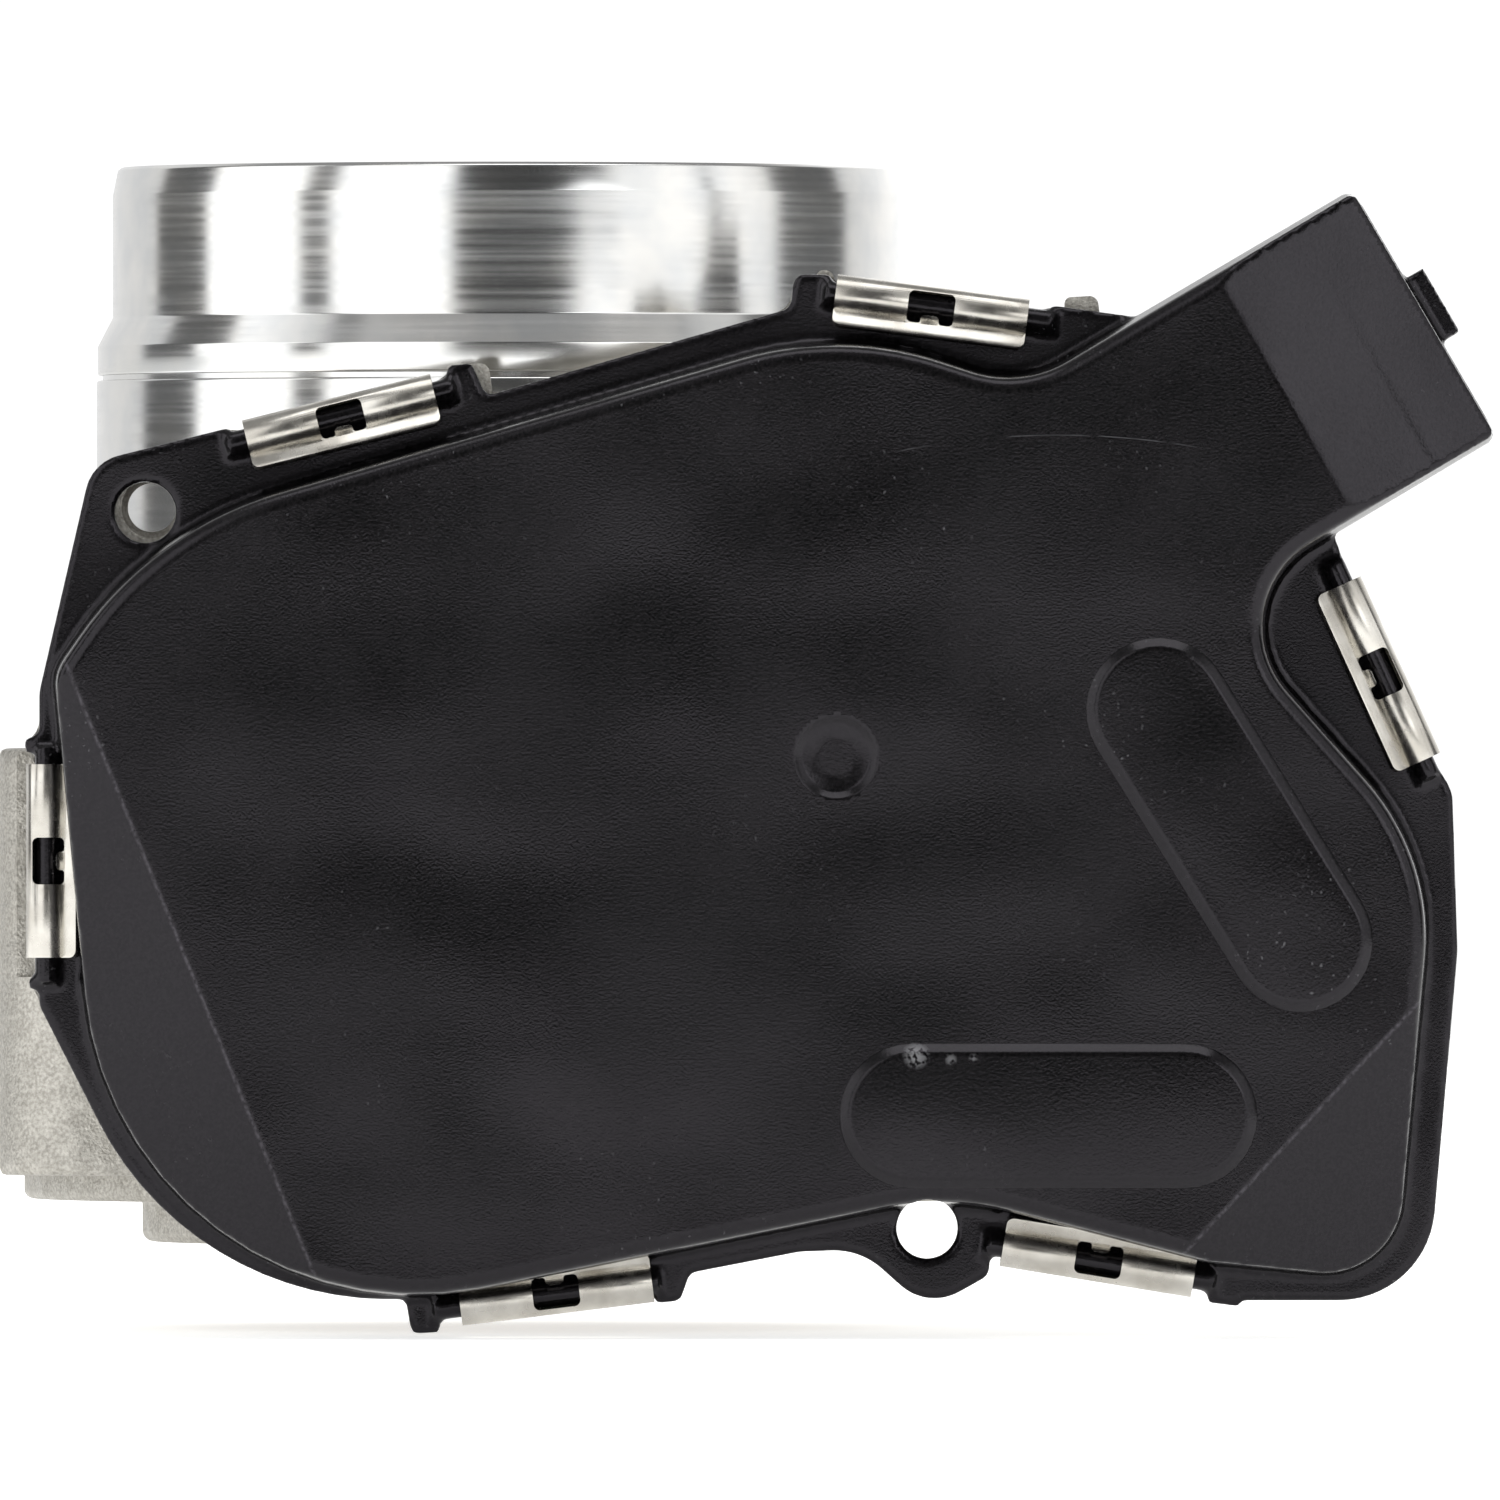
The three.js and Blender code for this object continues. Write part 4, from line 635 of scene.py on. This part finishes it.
def stadium(pad, r):
    """The outline of a pad: a straight slot with round ends."""
    (ax, az), (bx, bz) = pad
    angle = atan2(bz - az, bx - ax)
    half = [angle - pi / 2 + pi * k / 16 for k in range(17)]
    return [(bx + r * cos(a), bz + r * sin(a)) for a in half] + [
        (ax - r * cos(a), az - r * sin(a)) for a in half
    ]


def lay_wear_and_highlight(material, shader, colour, *limits):
    """Lays a paler colour over the base colour where every (value, start, end) is past its end."""
    amount = 1
    for value, start, end in limits:
        ramp = add(material, "ShaderNodeMapRange", {}, Value=value, From_Min=start, From_Max=end)
        both = add(material, "ShaderNodeMath", {"operation": "MULTIPLY"}, _0=amount, _1=ramp.outputs[0])
        amount = both.outputs[0]
    base = shader.inputs["Base Color"]
    under = base.links[0].from_socket
    mix = add(material, "ShaderNodeMix", {"data_type": "RGBA"}, _0=amount, _6=under, _7=linear(colour))
    material.node_tree.links.new(mix.outputs[2], base)


# Moulded against eroded steel: near black and satin, with a fine grain over soft waves, pale flecks,
# a long scratch, a painted highlight along two folds and a few rubbed spots. The grain is drawn as
# coarse as it has to be to show
moulded_black, shader = new_material("pbt_glass_filled_moulded", "#0e0e10", 0, 0.3)
plain = place_in(moulded_black)
shader.inputs["Specular IOR Level"].default_value = 0.28
shader.inputs["Specular Tint"].default_value = (1, 0.95, 1.05, 1)
vary(moulded_black, shader, "Roughness", plain, 14, 0.15, 0.26, 3)
mottle(moulded_black, shader, plain, 0.3, ("#030303", "#121112"), 1)
bumps(moulded_black, shader, [(plain, 0.25, 0.014, 2), (plain, 26, 0.75, 1)])
noises = []
for size, detail in ((0.45, 1), (18, 2), (3, 3)):
    grain = add(moulded_black, "ShaderNodeTexNoise", {}, Vector=plain, Scale=per_metre(size), Detail=detail)
    noises.append(grain.outputs[0])
flecks, patches, breaks = noises
lay_wear_and_highlight(moulded_black, shader, "#4a4a4c", (flecks, 0.7, 0.76), (patches, 0.5, 0.7))

# The scratch is part of a circle about this centre, broken where the surface dips
SCRATCH_X, SCRATCH_Z = 53.7, -6
SCRATCH_R = 78.8
SCRATCH_MIDDLE_X = 51.5
axis = (SCRATCH_X * MM, 0, SCRATCH_Z * MM)
from_axis = add(moulded_black, "ShaderNodeVectorMath", {"operation": "SUBTRACT"}, _0=plain, _1=axis)
flat = add(
    moulded_black, "ShaderNodeVectorMath", {"operation": "MULTIPLY"}, _0=from_axis.outputs[0], _1=(1, 0, 1)
)
reach = add(moulded_black, "ShaderNodeVectorMath", {"operation": "LENGTH"}, _0=flat.outputs[0])
split = add(moulded_black, "ShaderNodeSeparateXYZ", {}, Vector=plain)
distances = []
for value, middle in ((reach.outputs["Value"], SCRATCH_R), (split.outputs["X"], SCRATCH_MIDDLE_X)):
    off = add(moulded_black, "ShaderNodeMath", {"operation": "SUBTRACT"}, _0=value, _1=middle * MM)
    off = add(moulded_black, "ShaderNodeMath", {"operation": "ABSOLUTE"}, _0=off.outputs[0])
    distances.append(off.outputs[0])
lay_wear_and_highlight(
    moulded_black, shader, "#3f3f41", (distances[0], 0.07 * MM, 0.02 * MM),
    (distances[1], 18 * MM, 12 * MM), (split.outputs["Z"], 60 * MM, 61 * MM), (breaks, 0.42, 0.6),
)

# Where the front folds into two of its slopes, a painted highlight lies along the edge as a fine paler line
for (ax, az), (bx, bz), *_ in SLOPES[:2]:
    across = Vector((bz - az, 0, ax - bx)).normalized()
    side = add(moulded_black, "ShaderNodeVectorMath", {"operation": "DOT_PRODUCT"}, _0=plain, _1=across)
    off = add(
        moulded_black, "ShaderNodeMath", {"operation": "SUBTRACT"},
        _0=side.outputs["Value"], _1=(across.x * ax + across.z * az) * MM,
    )
    off = add(moulded_black, "ShaderNodeMath", {"operation": "ABSOLUTE"}, _0=off.outputs[0])
    # Painted highlight along the fold, in a paler colour broken up by the flecks' noise
    lay_wear_and_highlight(
        moulded_black, shader, "#3c3a3e", (off.outputs[0], 0.25 * MM, 0.05 * MM),
        (split.outputs["Y"], -74.5 * MM, -75.2 * MM), (flecks, 0.3, 0.65),
    )

# Rubbed spots at the top of the lower pad: (x, z, radius)
RUBS_Y = -76.4
for x, z, r in ((39.8, 12.1, 1.5), (43.2, 11.7, 0.8), (45.4, 11.8, 0.7)):
    spot = (x * MM, RUBS_Y * MM, z * MM)
    away = add(moulded_black, "ShaderNodeVectorMath", {"operation": "DISTANCE"}, _0=plain, _1=spot)
    lay_wear_and_highlight(
        moulded_black, shader, "#6a6a6c",
        (away.outputs["Value"], r * MM, r * MM * 0.4), (flecks, 0.4, 0.55),
    )

EDGE_R = 1.3
DRAFT = 0.5
dome_sections = [(rounded(inset(DOME_OUTLINE, 0)), COVER_BACK_Y)]
for k in range(6):
    angle = pi / 2 * k / 5
    drawn_in = DRAFT + EDGE_R * (1 - cos(angle))
    dome_sections.append((rounded(inset(DOME_OUTLINE, drawn_in)), DOME_Y + EDGE_R * (1 - sin(angle))))
cover = loft(dome_sections)
cover.name = "gear_cover_moulding"
combine(cover, [prism(rounded(JOINT_OUTLINE), COVER_FLANGE_Y, COVER_BACK_Y)], "UNION")
COVER_WALL = 2.2
cavity = prism(rounded(inset(TRAY_OUTLINE, TRAY_WALL)), DOME_Y + COVER_WALL, COVER_BACK_Y + 1)
combine(cavity, [slope_tool(*slope, inwards=2.6) for slope in SLOPES], "DIFFERENCE")
combine(cover, [
    *[slope_tool(*slope) for slope in SLOPES],
    *clip_pockets(COVER_FLANGE_Y - 3.4, COVER_FLANGE_Y),
    cavity,
    prism(rectangle(-16, 2, -70.3, -60.5), -11.96, 11.96, MOUTH_FRAME),
    *[prism(circle(x, z, 3), DOME_Y - 2, COVER_BACK_Y + 1) for x, z in LOCATING_HOLES],
], "DIFFERENCE")
beads = []
for bar in BARS:
    half = bar_length(bar) / 2 + 0.5
    rod = prism(circle(-BEAD_R, 0, BEAD_R, 24), -half, half, bar_frame(bar, COVER_FLANGE_Y))
    beads.append(rod)
latch = prism(rectangle(-9, 2, -59.3, -56.1), -3.3, 3.9, MOUTH_FRAME)
combine(cover, [*beads, latch], "UNION")
fuse(cover, 0.38, 1)
# Steps of the pads, the dish and the gate mark in it: (radius, how far behind the front)
PAD_STEPS = ((7.3, 0.3), (7.05, -0.08), (6.75, -0.25), (6.35, -0.7), (6.1, -0.82), (5.8, -0.84))
DISH_STEPS = ((4.5, -0.4), (4.15, -0.02), (3.95, 0.1), (3.5, 0.7), (3.2, 0.8))
GATE_STEPS = ((1.7, 1.1), (1.7, 0.6))
pads = [loft([(stadium(pad, r), DOME_Y + y) for r, y in PAD_STEPS]) for pad in PADS]
dish = loft([(circle(GEAR_X, GEAR_Z, r), DOME_Y + y) for r, y in DISH_STEPS])
gate = loft([(circle(GEAR_X, GEAR_Z, r), DOME_Y + y) for r, y in GATE_STEPS])
combine(cover, pads, "UNION")
combine(cover, [dish], "DIFFERENCE")
combine(cover, [gate], "UNION")
# The front waves a little, as a moulding does where it shrinks
WAVE_HEIGHT = 0.05
WAVE_SIZE = 13
for vertex in cover.data.vertices:
    x, y, z = vertex.co / MM
    if y < DOME_Y + 2:
        wave = noise.noise(Vector((x / WAVE_SIZE, 0.5, z / WAVE_SIZE)))
        vertex.co.y += WAVE_HEIGHT * MM * wave
combine(cover, [prism(rectangle(-80, 130, -40, 130), COVER_BACK_Y, COVER_BACK_Y + 0.6)], "DIFFERENCE")
pin_offsets = [(i - 2.5) * PIN_PITCH for i in range(6)]
combine(cover, [
    prism(rectangle(-25.3, -6.7, -66.1, -64.7), offset - 0.7, offset + 0.7, MOUTH_FRAME)
    for offset in pin_offsets
], "DIFFERENCE")
coat(cover, moulded_black)
smooth(cover, 50)
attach(cover, "housing")
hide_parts("gear_cover")
# The motor's brush holder is moulded of the same material
dress(["brush_holder"], moulded_black)

# Six cover clips. Stainless spring strip, blanked, bent over the moulded bead and snapped behind
# the housing's joint flange; a window in the roll lets the bead show.
SHEET = 0.55
CLIP_LENGTH = 19
ROLL_R = BEAD_R + 0.3 + SHEET / 2
REAR_Y = JOINT_Y + 3 + 0.3 + SHEET / 2
CLIPS = [
    ("upper_left", 0), ("top", -0.8), ("right", 0.3), ("left", 0.4), ("bottom", -1), ("lower_right", 0.2),
]
TIP_R = 0.8
BEND_R = 0.7

# Rolled strip: bright, smooth and slightly warm, with faint ripples that soften its reflections
spring_steel, shader = new_material("stainless_strip_rolled", "#d6d4cf", 1, 0.12)
plain = place_in(spring_steel)
vary(spring_steel, shader, "Roughness", plain, 1.5, 0.2, 0.3)
mottle(spring_steel, shader, plain, 4, ("#b3afa7", "#cdcac3"))
bumps(spring_steel, shader, [(plain, 0.4, 0.0015, 3), (plain, 5, 0.004, 1)])


def arc(u, y, r, start, end, steps):
    """Points along part of a circle, between two angles in degrees."""
    angles = [radians(start + (end - start) * k / steps) for k in range(steps + 1)]
    return [Vector((u + r * cos(a), y + r * sin(a))) for a in angles]


def clip_line():
    """Centre line of the strip's section, from the front leaf's tip to the rear lead-in."""
    roll = arc(-BEAD_R, COVER_FLANGE_Y, ROLL_R, -145, 0, 22)
    tip = Vector((-4.2, COVER_FLANGE_Y - 2.3))
    leaf = [tip.lerp(roll[0], share) for share in (0, 0.02, 0.06, 0.13, 0.22, 0.35, 0.5, 0.75)]
    outer = ROLL_R - BEAD_R
    bend = arc(outer - BEND_R, REAR_Y - BEND_R, BEND_R, 0, 90, 6)
    return [*leaf, *roll, *bend, Vector((-3.2, REAR_Y)), Vector((-4.2, REAR_Y + BEND_R))]


def clip(name, bar, shift):
    """One clip on its bar, moved a little along it."""
    line = clip_line()
    rings = []
    for i, point in enumerate(line):
        along = (line[min(i + 1, len(line) - 1)] - line[max(i - 1, 0)]).normalized()
        out = Vector((-along.y, along.x)) * (SHEET / 2)
        short = max(0, TIP_R - (point - line[0]).length)
        half = CLIP_LENGTH / 2 - (TIP_R - sqrt(max(0, TIP_R ** 2 - short ** 2)))
        outside, inside = point + out, point - out
        corners = ((outside, -half), (inside, -half), (inside, half), (outside, half))
        rings.append([bar_frame(bar) @ Vector((*side, end - shift)) for side, end in corners])
    obj = made(name, skin(rings))
    window = rounded([
        (-2.9, -2.3, 0.5), (-2.9, -0.9, 0.3), (-2.1, -0.9, 0.4), (-2.1, 0.9, 0.4), (-2.9, 0.9, 0.3),
        (-2.9, 2.3, 0.5), (0.25, 2.3, 0.6), (0.25, -2.3, 0.6),
    ])
    moved = [(u, t - shift) for u, t in window]
    combine(obj, [prism(moved, -66, COVER_FLANGE_Y - 0.4, bar_frame(bar) @ FACING)], "DIFFERENCE")
    bevel = obj.modifiers.new("edges", "BEVEL")
    bevel.width = 0.08 * MM
    bevel.segments = 2
    bevel.limit_method = "ANGLE"
    bevel.angle_limit = radians(50)
    bake(obj)
    coat(obj, spring_steel)
    smooth(obj, 40)
    return obj


for number, (bar, shift) in enumerate(CLIPS, 1):
    piece = clip(f"clip_strip_{number}", bar, shift)
    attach(piece, "housing")
    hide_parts(f"cover_clip_{number}")
# The motor's wave spring is bent of the same strip
dress(["motor_wave_spring"], spring_steel)

# Studio: a pale floor under the lowest point, white all round behind the object, tall soft lights
# at both sides with darker gaps between them, and one soft light above.
floor_z = cad_size[0].z - 0.0004
floor = prism(rectangle(-3000, 3000, -3000, 3000), floor_z / MM - 1, floor_z / MM, UPRIGHT)
floor.name = "studio_floor"
# White board without shine. Its glow is painted light, a little weaker close to the object, which paints a
# soft shade round it, so that no hard shadow shows
pale, shader = new_material("white_board_with_glow", "#f2f2f0", 0, 0.9)
shader.inputs["Specular IOR Level"].default_value = 0
shader.inputs["Emission Color"].default_value = (1, 1, 1, 1)
bumps(pale, shader, [(place_in(pale), 2, 0.02, 2)])
reach = add(pale, "ShaderNodeVectorMath", {"operation": "LENGTH"}, _0=place_in(pale))
glow = add(
    pale, "ShaderNodeMapRange", {"interpolation_type": "SMOOTHSTEP"}, Value=reach.outputs["Value"],
    From_Min=0, From_Max=0.25, To_Min=0.62, To_Max=1,
)
# Behind the object the floor's glow is dimmed for every ray but the camera's: a painted dark reflection for
# the back of the barrel, which the camera never sees on the floor itself
place = add(pale, "ShaderNodeSeparateXYZ", {}, Vector=place_in(pale))
glow_dimmed_behind = add(
    pale, "ShaderNodeMapRange", {"interpolation_type": "SMOOTHSTEP"}, Value=place.outputs["Y"],
    From_Min=0.02, From_Max=0.2, To_Min=1, To_Max=0.3,
)
dim = add(pale, "ShaderNodeMath", {"operation": "MULTIPLY"}, _0=glow.outputs[0], _1=glow_dimmed_behind.outputs[0])
path = add(pale, "ShaderNodeLightPath", {})
shown = add(
    pale, "ShaderNodeMix", {"data_type": "FLOAT"},
    _0=path.outputs["Is Camera Ray"], _2=dim.outputs[0], _3=glow.outputs[0],
)
pale.node_tree.links.new(shown.outputs[0], shader.inputs["Emission Strength"])
coat(floor, pale)

world = bpy.data.worlds.new("studio_surround")
bpy.context.scene.world = world
world.use_nodes = True
world.node_tree.nodes.clear()
where = add(world, "ShaderNodeTexCoord", {})
split = add(world, "ShaderNodeSeparateXYZ", {}, Vector=where.outputs["Generated"])
back = add(world, "ShaderNodeMath", {"operation": "MULTIPLY"}, _0=split.outputs["Y"], _1=-1)
azimuth = add(world, "ShaderNodeMath", {"operation": "ARCTAN2"}, _0=split.outputs["X"], _1=back.outputs[0])
turn = add(world, "ShaderNodeMapRange", {}, Value=azimuth.outputs[0], From_Min=-pi, From_Max=pi)
# (degrees from the viewer's direction, brightness)
ZONES = [
    (-180, 0.9), (-126, 0.9), (-123, 0.15), (-100, 0.15), (-98, 1.8), (-65, 1.8), (-63, 0.15),
    (-55, 0.15), (-53, 1.8), (-19, 1.8), (-16, 0.07), (26, 0.07), (32, 1.3), (57, 1.5), (60, 0.3),
    (63, 1.5), (80, 1.2), (84, 0.15), (109, 0.15), (112, 0.9), (180, 0.9),
]
ramp = add(world, "ShaderNodeValToRGB", {}, Fac=turn.outputs[0])
stops = ramp.color_ramp.elements
for spot, (degrees, light) in enumerate(ZONES):
    at = (degrees + 180) / 360
    stop = stops[spot] if spot < 1 else stops.new(at)
    stop.position = at
    stop.color = (light / 2, light / 2, light / 2, 1)
stops.remove(stops[len(ZONES)])
above = add(
    world, "ShaderNodeMapRange", {"interpolation_type": "SMOOTHSTEP"}, Value=split.outputs["Z"],
    From_Min=0.55, From_Max=0.8,
)
lit = add(
    world, "ShaderNodeMix", {"data_type": "FLOAT"},
    _0=above.outputs[0], _2=ramp.outputs["Color"], _3=0.18,
)
# One more soft light low at the right, for the face of the connector
toward = Vector((0.38, -0.88, 0.23)).normalized()
nearness = add(
    world, "ShaderNodeVectorMath", {"operation": "DOT_PRODUCT"},
    _0=where.outputs["Generated"], _1=toward,
)
patch = add(
    world, "ShaderNodeMapRange", {"interpolation_type": "SMOOTHSTEP"}, Value=nearness.outputs["Value"],
    From_Min=cos(radians(12)), From_Max=cos(radians(8)), To_Max=1.2,
)
lit = add(world, "ShaderNodeMath", {}, _0=lit.outputs[0], _1=patch.outputs[0])
path = add(world, "ShaderNodeLightPath", {})
seen = add(
    world, "ShaderNodeMix", {"data_type": "FLOAT"},
    _0=path.outputs["Is Camera Ray"], _2=lit.outputs[0], _3=0.55,
)
surround = add(world, "ShaderNodeBackground", {}, Color=seen.outputs[0], Strength=2)
add(world, "ShaderNodeOutputWorld", {}, Surface=surround.outputs[0])

light = bpy.data.lights.new("softbox_above", "AREA")
light.shape = "RECTANGLE"
light.size = 0.9
light.size_y = 0.7
light.energy = 4.2
lamp = bpy.data.objects.new("softbox_above", light)
lamp.location = (0.1, -0.35, 1.1)
lamp.rotation_euler = (radians(-18), 0, 0)
bpy.context.scene.collection.objects.link(lamp)

camera = bpy.data.objects.new("camera", bpy.data.cameras.new("camera"))
camera.data.lens = 840
camera.data.sensor_width = 36
camera.data.clip_end = 20
camera.location = (0.02355, -3.5, 0.042)
camera.rotation_euler = (pi / 2, 0, 0)
bpy.context.scene.collection.objects.link(camera)
bpy.context.scene.camera = camera
bpy.context.scene.view_settings.view_transform = "Standard"
